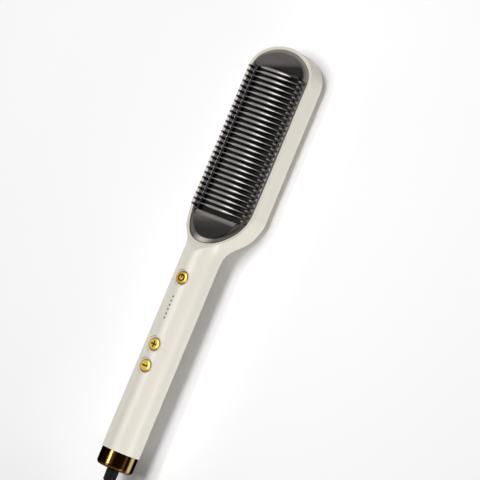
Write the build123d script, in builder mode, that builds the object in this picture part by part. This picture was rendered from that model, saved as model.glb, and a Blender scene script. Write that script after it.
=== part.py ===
from build123d import *
import os
from math import cos, pi, radians, sin, sqrt, tan

os.makedirs("parts", exist_ok=True)

# A heated hair straightening brush, lying on its back with the comb facing up.
# Millimetres. +Y runs from the cord end to the head's tip, +Z is up, the floor is z = 0.
# Places along the brush are given as a distance from the head's tip, heights from the handle's axis.

# Driving dimensions
BODY_LENGTH = 297.9
BOOT_LENGTH = 30.0
TIP_Y = (BODY_LENGTH + BOOT_LENGTH) / 2
AXIS_Z = 22.0
WALL = 2.1
FIT = 0.06

# Head, in plan
HEAD_HALF = 25.5
NOSE_R = 31.0
NOSE_CORNER_R = 17.0
LOW_SIDE_R = 36.0
LOW_NOSE_R = 21.5
LOW_END = 142.5
BACK_EDGE_R = 8.0

# Neck: distance from the tip, half width, back height above the floor, top height, corner radius
NECK_START = 111.0
NECK_STATIONS = [
    (NECK_START, HEAD_HALF, 0.0, 36.0, BACK_EDGE_R),
    (119.0, 24.5, 0.0, 36.0, 8.0),
    (126.0, 22.0, 0.4, 36.0, 8.6),
    (132.0, 18.7, 2.0, 35.4, 9.8),
    (137.0, 15.6, 4.9, 34.2, 11.2),
    (142.0, 13.8, 7.7, 34.0, 12.3),
    (147.0, 13.1, 8.8, 34.7, 12.8),
    (153.0, 13.0, 9.0, 35.0, 12.95),
]
HANDLE_R = 13.0
HANDLE_END = 286.1

# Rim of the front opening in side view: distance from the tip, height from the axis
RIM_H = -1.3
RIM_POINTS = [(-2.0, -2.3), (1.6, -1.9), (10.0, -1.5), (22.0, RIM_H), (36.0, RIM_H)]
RIM_CLIMB = [(108.0, RIM_H), (120.0, -0.2), (130.0, 3.4), (135.0, 6.1), (139.6, 8.8), (144.5, 11.7),
             (149.0, 13.1), (154.0, 13.4)]
DECK = 2.4

# Seam between the front housing and the back cover
SEAM_HEAD_Z = 3.0
SEAM_HANDLE_Z = 13.2
SEAM_TURNS = (126.0, 152.0)

# Comb
FIN_COUNT = 27
FIN_FIRST = 21.8
FIN_PITCH = 3.627
FIN_HALF = 17.6
FIN_MID_THICK = 2.1
FIN_END_THICK = 1.0
FIN_MID_H = 5.8
FIN_END_H = 1.0
FIN_CREST_R = 0.42
PLATE_TOP = -4.5
PLATE_THICK = 2.4
PLATE_HALF = 20.6
PLATE_LONGER = 3.2
PLATE_CORNER_R = 3.0
WELL_HALF = 17.95
WELL_FROM = 18.4
WELL_TO = 120.2

# Outer teeth
TOOTH_X = 20.8
TOOTH_TOP_H = 5.0
TOOTH_BASE_R = 1.15
TOOTH_TIP_R = 0.62
TOOTH_BAR = 2.4
TOOTH_BAR_DEEP = 1.5

# Crescents at the comb's two ends
CRESCENT_H = 3.4
CRESCENT_EDGE_R = 3.2
CRESCENT_TIP_H = -2.2
CRESCENT_TIP_AT = 2.0
CRESCENT_TOP_AT = 9.5
CRESCENT_LOW_H = 6.9
CRESCENT_LOW_AT = 138.0
CRESCENT_DRAFT = 20.0
CRESCENT_LOW_DRAFT = 12.0
CRESCENT_SOFT_R = 8.0
CRESCENT_LOW_INSET = 2.2
CRESCENT_SLOPE_END = (144.0, 8.1)
PANEL_H = 5.2
PANEL_INSET = 5.0
PANEL_DRAFT = 40.0
SHARP_R = 0.1
FRAME_SKIRT = 1.8
FRAME_PLATE = 2.2
FRAME_LOW_H = -8.9
MOUTH_LOW_H = -9.0
TIP_BLOCK_H = -7.0
LOW_BLOCK_H = -3.0
HOLLOW_H = -10.0
LEAD_ROOM_H = -1.8
LEAD_ROOM_AT = 134.0

# Controls on the handle's front
POWER_AT = 166.2
PLUS_AT = 212.8
MINUS_AT = 227.8
POWER_D = 9.2
STEP_D = 8.9
DISH_D = 11.4
DISH_Z = 33.8
KEY_GAP = 0.12
KEY_TOP_Z = 34.75
KEY_TRAVEL = 0.8
KEY_STEM_R = 2.6
KEY_FLANGE = 0.9
SIGN_R = 2.8
SIGN_DEEP = 0.4
SIGN_STROKE = 0.8
SIGN_LONG = 4.2
POWER_RING_R = 2.5
COLLAR_WALL = 1.3
COLLAR_LOW_Z = 29.6
LAMP_COUNT = 6
LAMP_FIRST = 179.6
LAMP_PITCH = 2.96
LAMP_D = 1.2

# Board
BOARD_TOP_Z = 21.0
BOARD_THICK = 1.6
BOARD_HALF = 8.5
BOARD_FROM = 162.0
BOARD_TO = 254.0
SWITCH_BODY = (6.0, 6.0, 3.5)
SWITCH_FLOOR = 0.6
PLUNGER_D = 3.4
PLUNGER_TOP_Z = 27.0

# Screws
SCREW_D = 2.5
SCREW_HEAD_D = 4.6
SCREW_HEAD_H = 1.9
SCREW_SINK = 0.7
FRAME_BOSSES = [(-9.0, 11.0), (9.0, 11.0), (-10.0, 127.0), (10.0, 127.0)]
HANDLE_BOSSES = [157.0, 262.0]
BOARD_POSTS = [174.8, 244.6]
BOSS_D = 6.2
BOSS_HIGH = 17.2
PAD_SUNK = 0.8
PAD_HIGH = 3.4
PILOT_DEEP = 12.0
POST_R = 2.6
POST_HOLE_R = 1.0
REST_R = 2.2

# Tail
CAP_R = 12.45
CAP_EDGE_R = 2.6
CAP_BORE_R = 4.75
CAP_INNER_R = 9.6
SPIGOT_R = 10.82
SPIGOT_FROM = 279.0
SOCKET_FROM = 268.0
SOCKET_TO = 294.7
SOCKET_BORE_R = 6.7
SPINDLE_R = 4.0
SPINDLE_BORE_R = 1.5
BARB_R = 2.4
BARB_LONG = 8.0
FLANGE_R = 6.5
NECK_R = 4.4
RING_SMALL_R = 4.6
RING_LARGE_R = 5.1
RING_SMALL_AT = 274.0
RING_LARGE_AT = 281.0
RING_LONG = 3.0
CONTACT_GAP = 0.06
CONTACT_THICK = 0.64
CONTACT_WIDE = 2.4
BOOT_ROOT_R = 4.25
BOOT_END_R = 3.5
BOOT_GAP = 0.3
RIB_COUNT = 6
RIB_GROOVE = 0.34
RIB_DEEP = 0.75

# Heater stack under the comb, heights above the floor
FILM_WRAP = 0.2
TILE_SIZE = (16.0, 21.0, 2.2)
TILE_COUNT = 4
TILE_FROM = 26.0
TILE_STEP = 22.0
STRIP_THICK = 0.3
CLAMP_THICK = 0.8
CLAMP_HALF = 13.8
CLAMP_SCREWS = [(-11.3, 34.0), (11.3, 34.0), (-11.3, 104.0), (11.3, 104.0)]
SHIELD_LOW_Z = 6.4
SHIELD_THICK = 0.8
SHIELD_POSTS = [(-14, 32), (14, 32), (-14, 108), (14, 108)]

# Cord
CORD_D = 6.0
CORD_R = CORD_D / 2
CORD_LIFT = 0.4
CORD_MEET = 0.004
HANK_START = (22.0, -288.0)
HANK_TURNS = 5.75
HANK_REVERSALS = [1.625, 3.125, 4.625]
HANK_CLIMB = 0.25
HANK_FOLD_R = 28.5
HANK_STEP = 7.1
HANK_LAYER = 6.6
HANK_RUN = 35.0
HANK_DRAW = 8.0
TIE_THICK = 0.36
TIE_WIDE = 8.0
TIE_ROOM = 0.35
PLUG_X = -25.0
PLUG_BACK_Y = -212.0
PLUG_LONG = 34.0
PLUG_HALF_HIGH = 10.0
# Plug: distance from its back end, half width, half height, corner radius
PLUG_STATIONS = [
    (0.0, 5.0, 5.0, 4.9),
    (9.0, 5.6, 5.6, 5.5),
    (15.0, 10.5, 8.8, 5.5),
    (PLUG_LONG, 12.0, PLUG_HALF_HIGH, 5.0),
]
BLADE = (1.5, 16.0, 6.3)
BLADE_APART = 12.7

# Values that follow from these
hank_x = HANK_START[0] - HANK_FOLD_R
hank_y = HANK_START[1] - HANK_RUN
cord_low_z = CORD_LIFT + CORD_R
frame_edge = WALL + FIT


def along(from_tip):
    """The Y place of a distance from the head's tip."""
    return TIP_Y - from_tip


def up(height):
    """The Z place of a height above the handle's axis."""
    return AXIS_Z + height


def section(from_tip):
    """An upright plane across the brush, facing the cord end."""
    return Plane.XZ.offset(-along(from_tip))


def head_outline(inset):
    """The head's plan outline, drawn inside the housing's outer edge by inset."""
    tip_x = HEAD_HALF - NOSE_CORNER_R
    tip_rise = sqrt((NOSE_R - NOSE_CORNER_R) ** 2 - tip_x**2)
    corner_at = NOSE_R - tip_rise
    low_x = LOW_SIDE_R - HEAD_HALF
    low_run = sqrt((LOW_SIDE_R - LOW_NOSE_R) ** 2 - low_x**2)
    side_at = LOW_END - LOW_NOSE_R - low_run

    nose_r = NOSE_R - inset
    corner_r = NOSE_CORNER_R - inset
    side_r = LOW_SIDE_R - inset
    low_r = LOW_NOSE_R - inset
    tip_turn = Vector(tip_x, tip_rise).normalized()
    tip_middle = (tip_turn + Vector(1, 0)).normalized()
    low_turn = Vector(low_x, -low_run).normalized()
    low_middle = (low_turn + Vector(1, 0)).normalized()
    corner = Vector(tip_x, along(corner_at))
    side = Vector(-low_x, along(side_at))

    nose_join = Vector(0, along(NOSE_R)) + tip_turn * nose_r
    corner_middle = corner + tip_middle * corner_r
    side_top = corner + Vector(corner_r, 0)
    side_low = side + Vector(side_r, 0)
    side_middle = side + low_middle * side_r
    low_join = side + low_turn * side_r

    def left(point):
        return (-point.X, point.Y)

    def right(point):
        return (point.X, point.Y)

    with BuildSketch() as plan:
        with BuildLine():
            ThreePointArc(right(nose_join), (0, along(inset)), left(nose_join))
            ThreePointArc(left(nose_join), left(corner_middle), left(side_top))
            Line(left(side_top), left(side_low))
            ThreePointArc(left(side_low), left(side_middle), left(low_join))
            ThreePointArc(left(low_join), (0, along(LOW_END - inset)), right(low_join))
            ThreePointArc(right(low_join), right(side_middle), right(side_low))
            Line(right(side_low), right(side_top))
            ThreePointArc(right(side_top), right(corner_middle), right(nose_join))
        make_face()
    return plan.sketch


def grip_body(inset):
    """The whole brush as one closed form, inset inside the housing's outer surface."""
    with BuildPart() as form:
        with BuildSketch(Plane.XY.offset(inset)):
            add(head_outline(inset))
        extrude(amount=NECK_STATIONS[0][3] - 2 * inset)
        fillet(form.edges().group_by(Axis.Z)[0], BACK_EDGE_R - inset)
        split(bisect_by=section(NECK_START), keep=Keep.BOTTOM)
        for from_tip, half, back, top, corner in NECK_STATIONS:
            with BuildSketch(section(from_tip)):
                with Locations((0, (back + top) / 2)):
                    RectangleRounded(2 * (half - inset), top - back - 2 * inset, corner - inset)
        loft()
        with BuildSketch(section(NECK_STATIONS[-1][0])):
            with Locations((0, AXIS_Z)):
                side = 2 * (HANDLE_R - inset)
                RectangleRounded(side, side, NECK_STATIONS[-1][4] - inset)
        extrude(amount=HANDLE_END - NECK_STATIONS[-1][0])
    return form.part


def rim_region(drop, from_tip):
    """Side-view region above the rim line lowered by drop, from a place on to the handle."""
    if from_tip < RIM_CLIMB[0][0]:
        points = RIM_POINTS + RIM_CLIMB
    else:
        points = RIM_CLIMB
    places = [(along(at), up(height) - drop) for at, height in points]
    ceiling = up(HANDLE_R) + 8
    with BuildSketch() as region:
        with BuildLine():
            Spline(*places)
            Polyline(places[-1], (places[-1][0], ceiling), (places[0][0], ceiling), places[0])
        make_face()
    return region.sketch


def seam_region():
    """Side-view region below the seam."""
    head = (along(-3), SEAM_HEAD_Z)
    tail = (along(BODY_LENGTH + 3), SEAM_HANDLE_Z)
    with BuildSketch() as region:
        with BuildLine():
            FilletPolyline(
                head,
                (along(SEAM_TURNS[0]), SEAM_HEAD_Z),
                (along(SEAM_TURNS[1]), SEAM_HANDLE_Z),
                tail,
                radius=18,
            )
            Polyline(tail, (tail[0], -2), (head[0], -2), head)
        make_face()
    return region.sketch


def side_cut(points, radii):
    """Side-view outline from distances and heights; radii round its middle corners."""
    places = [(along(at), up(height)) for at, height in points]
    with BuildSketch() as cut:
        with BuildLine():
            FilletPolyline(*places, radius=radii)
            Line(places[-1], places[0])
        make_face()
    return cut.sketch


def block(size, place):
    """A box standing on its place's height, centred across and along."""
    wide, long, high = size
    with Locations((place[0], place[1], place[2] + high / 2)):
        Box(wide, long, high)


def turned(points, rounds=()):
    """A piece turned about the handle's axis from distances and radii; rounds are corners to round."""
    places = [(along(at), up(radius)) for at, radius in points]
    with BuildPart() as piece:
        with BuildSketch(Plane.YZ) as profile:
            with BuildLine():
                Polyline(*places, close=True)
            make_face()
            for corner, radius in rounds:
                near = Vector(*places[corner])
                corners = profile.vertices().sort_by(lambda v: abs(v.X - near.X) + abs(v.Y - near.Y))
                fillet(corners[0], radius)
        revolve(axis=Axis((0, 0, AXIS_Z), (0, 1, 0)))
    return piece.part


def screws(name, places, head_z, head_r, head_h, shank_r, shank_long, downwards=False):
    """Cross-head screws that share one file; heads face down unless downwards."""
    turn = (180, 0, 0) if downwards else (0, 0, 0)
    with BuildPart() as group:
        with Locations(*[Location((x, y, head_z), turn) for x, y in places]):
            Cylinder(head_r, head_h, align=(Align.CENTER, Align.CENTER, Align.MIN))
            Cylinder(shank_r, head_h + shank_long, align=(Align.CENTER, Align.CENTER, Align.MIN))
            Box(head_r * 1.2, head_r * 0.32, head_h, mode=Mode.SUBTRACT)
            Box(head_r * 0.32, head_r * 1.2, head_h, mode=Mode.SUBTRACT)
    finish(name, group.part)


def rod(points, radius, bend):
    """A round wire along straight runs joined by arcs."""
    with BuildPart() as piece:
        with BuildLine() as path:
            FilletPolyline(*points, radius=bend)
        with BuildSketch(Plane(origin=path.line @ 0, z_dir=path.line % 0)):
            Circle(radius)
        sweep(path=path.line)
    return piece.part


def cord_bends(points):
    """The radius of each corner of a cord's route, as large as its two runs allow."""
    bends = []
    for before, point, after in zip(points, points[1:], points[2:]):
        first = Vector(*point) - Vector(*before)
        second = Vector(*after) - Vector(*point)
        turn = first.get_angle(second)
        bends.append(0.45 * min(first.length, second.length) / tan(radians(turn) / 2))
    print("cord bends, millimetres:", [round(bend, 1) for bend in bends])
    return bends


def cord_tube(name, points):
    """A free stretch of the cord along its route."""
    with BuildPart() as tube:
        with BuildLine() as line:
            FilletPolyline(*points, radius=cord_bends(points))
        with BuildSketch(Plane(origin=line.line @ 0, z_dir=line.line % 0)):
            Circle(CORD_R)
        sweep(path=line.line)
    length = line.wire().length
    ratio = tube.part.volume / (pi * CORD_R**2 * length)
    print(name, "length", round(length, 1), "volume ratio", round(ratio, 4))
    finish(name, tube.part)


def hank_depth(turns):
    """How many steps in from the outermost loop: in, out, in and out again."""
    depth = 0
    start = 0
    direction = 1
    for reversal in [*HANK_REVERSALS, HANK_TURNS + 1]:
        depth += direction * max(min(turns, reversal) - start, 0)
        start = reversal
        direction = -direction
    return depth


def hank_height(turns):
    """The height after each climb, one along a run at every reversal."""
    height = cord_low_z
    for reversal in HANK_REVERSALS:
        climbed = min(max((turns - reversal) / HANK_CLIMB + 0.5, 0), 1)
        height += HANK_LAYER * (1 - cos(pi * climbed)) / 2
    return height


def hank_place(turns):
    """A point of the hank: two runs drawn in at the waist and two folds in each turn."""
    radius = HANK_FOLD_R - HANK_STEP * hank_depth(turns)
    half_lap = turns % 0.5
    side = 1 if turns % 1 < 0.5 else -1
    if half_lap < HANK_CLIMB:
        share = 1 - 2 * half_lap / HANK_CLIMB
        across = radius - HANK_DRAW * (1 + cos(pi * share)) / 2
        down = HANK_RUN * share
    else:
        swing = pi * (half_lap - HANK_CLIMB) / (0.5 - HANK_CLIMB)
        across = radius * cos(swing)
        down = -HANK_RUN - radius * sin(swing)
    return Vector(hank_x + side * across, hank_y + side * down, hank_height(turns))


def hank_heading(turns):
    """The hank's direction at a point."""
    return (hank_place(turns + 0.0005) - hank_place(turns - 0.0005)).normalized()


def biarc(start, start_heading, end, end_heading):
    """Two arcs that leave the start and reach the end along given headings."""
    chord = end - start
    both = start_heading + end_heading
    square = 2 * (1 - start_heading.dot(end_heading))
    reach = (sqrt(chord.dot(both) ** 2 + square * chord.dot(chord)) - chord.dot(both)) / square
    near = start + start_heading * reach
    far = end - end_heading * reach
    middle = (near + far) * 0.5
    TangentArc(start, middle, tangent=start_heading)
    TangentArc(middle, end, tangent=far - near)


def finish(name, part):
    """Label a finished piece and write its file."""
    part.label = name
    export_step(part, f"parts/{name}.step")


outer_form = grip_body(0)
inner_form = grip_body(WALL)

# Cavity of the housing: the deck over the neck stays solid
with BuildPart() as cavity:
    add(inner_form)
    with BuildSketch(section(HANDLE_END)):
        with Locations((0, AXIS_Z)):
            Circle(HANDLE_R - WALL)
    extrude(amount=1, both=True)
    with BuildSketch(Plane.YZ):
        add(rim_region(DECK, NECK_START))
    extrude(amount=HEAD_HALF + 5, both=True, mode=Mode.SUBTRACT)

key_places = {
    "power_button": (POWER_AT, POWER_D),
    "plus_button": (PLUS_AT, STEP_D),
    "minus_button": (MINUS_AT, STEP_D),
}

# Front housing: sides, rim and the handle's front
with BuildPart() as front_housing:
    add(outer_form)
    add(cavity.part, mode=Mode.SUBTRACT)
    with BuildSketch(Plane.YZ):
        add(rim_region(0, 0))
    extrude(amount=HEAD_HALF + 5, both=True, mode=Mode.SUBTRACT)
    with BuildSketch(Plane.XY.offset(up(MOUTH_LOW_H))):
        add(head_outline(WALL))
    extrude(amount=30, mode=Mode.SUBTRACT)
    with BuildSketch(Plane.YZ):
        add(seam_region())
    extrude(amount=HEAD_HALF + 5, both=True, mode=Mode.SUBTRACT)
    # Screw posts under the handle's front
    for at in HANDLE_BOSSES:
        with BuildSketch(Plane.XY.offset(SEAM_HANDLE_Z + 0.6)):
            with Locations((0, along(at))):
                Circle(BOSS_D / 2)
        extrude(amount=up(HANDLE_R - WALL) - SEAM_HANDLE_Z)
        with BuildSketch(Plane.XY.offset(SEAM_HANDLE_Z)):
            with Locations((0, along(at))):
                Circle(SCREW_D / 2)
        extrude(amount=PILOT_DEEP, mode=Mode.SUBTRACT)
    # Keys: a shallow dish, a guide collar and the hole through both
    for at, diameter in key_places.values():
        with BuildSketch(Plane.XY.offset(COLLAR_LOW_Z)):
            with Locations((0, along(at))):
                Circle(diameter / 2 + KEY_GAP + COLLAR_WALL)
        extrude(amount=DISH_Z - COLLAR_LOW_Z - 0.3)
        with BuildSketch(Plane.XY.offset(DISH_Z)):
            with Locations((0, along(at))):
                Circle(DISH_D / 2)
        extrude(amount=3, mode=Mode.SUBTRACT)
        with BuildSketch(Plane.XY.offset(COLLAR_LOW_Z - 1)):
            with Locations((0, along(at))):
                Circle(diameter / 2 + KEY_GAP)
        extrude(amount=8, mode=Mode.SUBTRACT)
    # Holes of the six lamps
    with BuildSketch(Plane.XY.offset(up(HANDLE_R - WALL - 1))):
        for index in range(LAMP_COUNT):
            with Locations((0, along(LAMP_FIRST + index * LAMP_PITCH))):
                Circle(LAMP_D / 2 + 0.04)
    extrude(amount=5, mode=Mode.SUBTRACT)
finish("front_housing", front_housing.part)

# Back cover: the long shallow shell behind, with pads for the screws
handle_back = up(-HANDLE_R)
post_low = handle_back + WALL - PAD_SUNK
board_low = BOARD_TOP_Z - BOARD_THICK
with BuildPart() as back_cover:
    add(outer_form)
    add(cavity.part, mode=Mode.SUBTRACT)
    with BuildSketch(Plane.YZ):
        add(seam_region())
    extrude(amount=HEAD_HALF + 5, both=True, mode=Mode.INTERSECT)
    for x, at in FRAME_BOSSES:
        with BuildSketch(Plane.XY.offset(WALL - PAD_SUNK)):
            with Locations((x, along(at))):
                Circle(BOSS_D / 2 + 1)
        extrude(amount=PAD_HIGH)
        with Locations(Location((x, along(at), 0), (180, 0, 0))):
            CounterBoreHole(SCREW_D / 2, SCREW_HEAD_D / 2 + 0.2, SCREW_SINK + SCREW_HEAD_H, depth=8)
    for at in HANDLE_BOSSES:
        with BuildSketch(Plane.XY.offset(post_low)):
            with Locations((0, along(at))):
                Circle(BOSS_D / 2 + 0.6)
        extrude(amount=SEAM_HANDLE_Z + 0.6 - post_low)
        with Locations(Location((0, along(at), handle_back), (180, 0, 0))):
            CounterBoreHole(SCREW_D / 2, SCREW_HEAD_D / 2 + 0.2, SCREW_SINK + SCREW_HEAD_H, depth=8)
    for at in BOARD_POSTS:
        with BuildSketch(Plane.XY.offset(post_low)):
            with Locations((0, along(at))):
                Circle(POST_R)
        extrude(amount=board_low - post_low)
        with BuildSketch(Plane.XY.offset(board_low - 6)):
            with Locations((0, along(at))):
                Circle(POST_HOLE_R)
        extrude(amount=7, mode=Mode.SUBTRACT)
    # Rests for the heat shield
    for x, at in SHIELD_POSTS:
        with BuildSketch(Plane.XY.offset(WALL - PAD_SUNK)):
            with Locations((x, along(at))):
                Circle(REST_R)
        extrude(amount=SHIELD_LOW_Z - WALL + PAD_SUNK)
finish("back_cover", back_cover.part)


# Dark frame round the comb: a rim flush with the housing and a raised crescent at each end
below = HOLLOW_H - 2
crescent_tip = [
    (CRESCENT_TIP_AT, below),
    (CRESCENT_TIP_AT, CRESCENT_TIP_H),
    (CRESCENT_TOP_AT, CRESCENT_H),
    (WELL_FROM, CRESCENT_H),
    (WELL_FROM, below),
]
crescent_low = [
    (WELL_TO, below),
    (WELL_TO, CRESCENT_H),
    CRESCENT_SLOPE_END,
    (CRESCENT_SLOPE_END[0], below),
]

with BuildPart() as tip_block:
    with BuildSketch(Plane.XY.offset(up(TIP_BLOCK_H))):
        add(head_outline(frame_edge))
    extrude(amount=14, taper=CRESCENT_DRAFT)
    with BuildSketch(Plane.YZ):
        add(side_cut(crescent_tip, [SHARP_R, CRESCENT_SOFT_R, CRESCENT_EDGE_R]))
    extrude(amount=HEAD_HALF, both=True, mode=Mode.INTERSECT)

with BuildPart() as low_block:
    with BuildSketch(Plane.XY.offset(up(LOW_BLOCK_H))):
        add(head_outline(frame_edge + CRESCENT_LOW_INSET))
    extrude(amount=14, taper=CRESCENT_LOW_DRAFT)
    with BuildSketch(Plane.YZ):
        add(side_cut(crescent_low, [CRESCENT_EDGE_R, SHARP_R]))
    extrude(amount=HEAD_HALF, both=True, mode=Mode.INTERSECT)

with BuildPart() as low_recess:
    with BuildSketch(Plane.XY.offset(up(PANEL_H))):
        add(head_outline(frame_edge + PANEL_INSET))
    extrude(amount=7, taper=-PANEL_DRAFT)
    with BuildSketch(Plane.YZ):
        add(side_cut(crescent_low, [SHARP_R, SHARP_R]))
    extrude(amount=HEAD_HALF, both=True, mode=Mode.SUBTRACT)
    split(bisect_by=section(WELL_TO), keep=Keep.TOP)

under_tip = CRESCENT_TIP_H - FRAME_PLATE
under_top = CRESCENT_H - FRAME_PLATE
under_low = CRESCENT_LOW_H - FRAME_PLATE
strip_low = PLATE_TOP + 0.2
hollow_side = [
    (-4, below),
    (-4, under_tip),
    (CRESCENT_TIP_AT + 0.6, under_tip),
    (CRESCENT_TOP_AT + 0.6, under_top),
    (WELL_FROM - FRAME_PLATE, under_top),
    (WELL_FROM - FRAME_PLATE, strip_low),
    (WELL_TO + FRAME_PLATE, strip_low),
    (WELL_TO + FRAME_PLATE, under_top),
    (CRESCENT_LOW_AT, under_low),
    (CRESCENT_SLOPE_END[0], under_low),
    (CRESCENT_SLOPE_END[0], below),
]
with BuildPart() as frame_hollow:
    with BuildSketch(Plane.XY.offset(up(HOLLOW_H))):
        add(head_outline(frame_edge + FRAME_SKIRT))
    extrude(amount=16, taper=CRESCENT_DRAFT)
    with BuildSketch(Plane.YZ):
        add(side_cut(hollow_side, [SHARP_R] * 9))
    extrude(amount=HEAD_HALF, both=True, mode=Mode.INTERSECT)

well_mid = along((WELL_FROM + WELL_TO) / 2)
well_long = WELL_TO - WELL_FROM
bar_long = well_long - 2
bar_low = up(RIM_H - TOOTH_BAR_DEEP)
with BuildPart() as comb_frame:
    with BuildSketch(Plane.XY.offset(up(FRAME_LOW_H))):
        add(head_outline(frame_edge))
    extrude(amount=24)
    with BuildSketch(Plane.YZ):
        add(rim_region(0, 0))
    extrude(amount=HEAD_HALF, both=True, mode=Mode.SUBTRACT)
    add(low_recess.part, mode=Mode.SUBTRACT)
    add(tip_block.part)
    add(low_block.part)
    add(frame_hollow.part, mode=Mode.SUBTRACT)
    with BuildSketch(Plane.XY.offset(up(HOLLOW_H))):
        with Locations((0, well_mid)):
            Rectangle(2 * WELL_HALF, well_long)
    extrude(amount=20, mode=Mode.SUBTRACT)
    with BuildSketch(Plane.XY.offset(up(HOLLOW_H))):
        with Locations((0, well_mid)):
            Rectangle(2 * PLATE_HALF + 0.4, well_long + PLATE_LONGER + 0.4)
    extrude(amount=strip_low - HOLLOW_H, mode=Mode.SUBTRACT)
    # Room for the heater's leads under the lower crescent
    with BuildSketch(Plane.XY.offset(up(HOLLOW_H))):
        with Locations((0, along(LEAD_ROOM_AT))):
            Rectangle(2 * HEAD_HALF, 20)
    extrude(amount=LEAD_ROOM_H - HOLLOW_H, mode=Mode.SUBTRACT)
    # Grooves for the two rows of outer teeth
    with BuildSketch(Plane.XY.offset(bar_low)):
        with Locations((-TOOTH_X, well_mid), (TOOTH_X, well_mid)):
            Rectangle(TOOTH_BAR, bar_long)
    extrude(amount=5, mode=Mode.SUBTRACT)
    for x, at in FRAME_BOSSES:
        with BuildSketch(Plane.XY.offset(WALL - PAD_SUNK + PAD_HIGH)):
            with Locations((x, along(at))):
                Circle(BOSS_D / 2)
        extrude(amount=BOSS_HIGH)
        with BuildSketch(Plane.XY.offset(WALL)):
            with Locations((x, along(at))):
                Circle(SCREW_D / 2)
        extrude(amount=PILOT_DEEP + 1, mode=Mode.SUBTRACT)
finish("comb_frame", comb_frame.part)

# Outer teeth: cool rows that stand half a pitch between the fins
tooth_places = [along(FIN_FIRST + (index - 0.5) * FIN_PITCH) for index in range(FIN_COUNT + 1)]
stem = TOOTH_TOP_H - RIM_H - TOOTH_TIP_R
for side, name in [(-1, "guard_teeth_left"), (1, "guard_teeth_right")]:
    with BuildPart() as guard_teeth:
        with BuildSketch(Plane.XY.offset(bar_low)):
            with Locations((side * TOOTH_X, well_mid)):
                Rectangle(TOOTH_BAR, bar_long)
        extrude(amount=TOOTH_BAR_DEEP)
        for place in tooth_places:
            with Locations((side * TOOTH_X, place, up(RIM_H) + stem / 2)):
                Cone(TOOTH_BASE_R, TOOTH_TIP_R, stem)
            with Locations((side * TOOTH_X, place, up(RIM_H) + stem)):
                Sphere(TOOTH_TIP_R)
    finish(name, guard_teeth.part)

# One fin: thicker in the middle, its top edge arched across the brush
with BuildPart() as fin:
    with BuildSketch(Plane.XY.offset(up(PLATE_TOP) - 0.3)):
        with BuildLine():
            half_end = FIN_END_THICK / 2
            ThreePointArc((-FIN_HALF, half_end), (0, FIN_MID_THICK / 2), (FIN_HALF, half_end))
            Line((FIN_HALF, half_end), (FIN_HALF, -half_end))
            ThreePointArc((FIN_HALF, -half_end), (0, -FIN_MID_THICK / 2), (-FIN_HALF, -half_end))
            Line((-FIN_HALF, -half_end), (-FIN_HALF, half_end))
        make_face()
    extrude(amount=14)
    with BuildSketch(Plane.XZ):
        with BuildLine():
            ThreePointArc((-FIN_HALF, up(FIN_END_H)), (0, up(FIN_MID_H)), (FIN_HALF, up(FIN_END_H)))
            Polyline((FIN_HALF, up(FIN_END_H)), (FIN_HALF, 10), (-FIN_HALF, 10), (-FIN_HALF, up(FIN_END_H)))
        make_face()
    extrude(amount=3, both=True, mode=Mode.INTERSECT)
    crest = fin.faces().sort_by(Axis.Z)[-1]
    fillet(crest.edges().filter_by(lambda edge: edge.length > FIN_HALF), FIN_CREST_R)

with BuildPart() as heating_comb:
    with BuildSketch(Plane.XY.offset(up(PLATE_TOP) - PLATE_THICK)):
        with Locations((0, well_mid)):
            RectangleRounded(2 * PLATE_HALF, well_long + PLATE_LONGER, PLATE_CORNER_R)
    extrude(amount=PLATE_THICK)
    for x, at in CLAMP_SCREWS:
        with BuildSketch(Plane.XY.offset(up(PLATE_TOP) - PLATE_THICK)):
            with Locations((x, along(at))):
                Circle(2.4)
        extrude(amount=-(TILE_SIZE[2] + 2 * STRIP_THICK + 2 * FILM_WRAP))
        with BuildSketch(Plane.XY.offset(up(PLATE_TOP) - PLATE_THICK - 6)):
            with Locations((x, along(at))):
                Circle(SCREW_D / 2)
        extrude(amount=7.4, mode=Mode.SUBTRACT)
    for index in range(FIN_COUNT):
        with Locations((0, along(FIN_FIRST + index * FIN_PITCH), 0)):
            add(fin.part)
finish("heating_comb", heating_comb.part)


frame_places = [(x, along(at)) for x, at in FRAME_BOSSES]
handle_places = [(0, along(at)) for at in HANDLE_BOSSES]
post_places = [(0, along(at)) for at in BOARD_POSTS]
clamp_places = [(x, along(at)) for x, at in CLAMP_SCREWS]
plate_low = up(PLATE_TOP) - PLATE_THICK
stack = TILE_SIZE[2] + 2 * STRIP_THICK + 2 * FILM_WRAP
clamp_top = plate_low - stack
screws("frame_screws", frame_places, SCREW_SINK, SCREW_HEAD_D / 2, SCREW_HEAD_H, SCREW_D / 2, 10.5)
cover_head = handle_back + SCREW_SINK
screws("cover_screws", handle_places, cover_head, SCREW_HEAD_D / 2, SCREW_HEAD_H, SCREW_D / 2, 11)
screws("board_screws", post_places, BOARD_TOP_Z + 1.3, 1.9, 1.3, 1.0, 5.5, downwards=True)
screws("clamp_screws", clamp_places, clamp_top - CLAMP_THICK - 1.6, 2.1, 1.6, SCREW_D / 2, 4.8)

# Heater under the comb: ceramic tiles between two copper strips, wrapped in film, held up by a clamp
film_from = TILE_FROM - 2
film_to = TILE_FROM + TILE_STEP * (TILE_COUNT - 1) + TILE_SIZE[1] + 2
film_mid = along((film_from + film_to) / 2)
film_half = TILE_SIZE[0] / 2 + FILM_WRAP

with BuildPart() as ptc_tiles:
    for index in range(TILE_COUNT):
        middle = along(TILE_FROM + TILE_STEP * index + TILE_SIZE[1] / 2)
        block(TILE_SIZE, (0, middle, clamp_top + FILM_WRAP + STRIP_THICK))
finish("ptc_tiles", ptc_tiles.part)

with BuildPart() as electrode_strips:
    for low in (clamp_top + FILM_WRAP, plate_low - FILM_WRAP - STRIP_THICK):
        block((14, film_to - film_from + 2, STRIP_THICK), (0, film_mid - 1, low))
finish("electrode_strips", electrode_strips.part)

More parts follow.
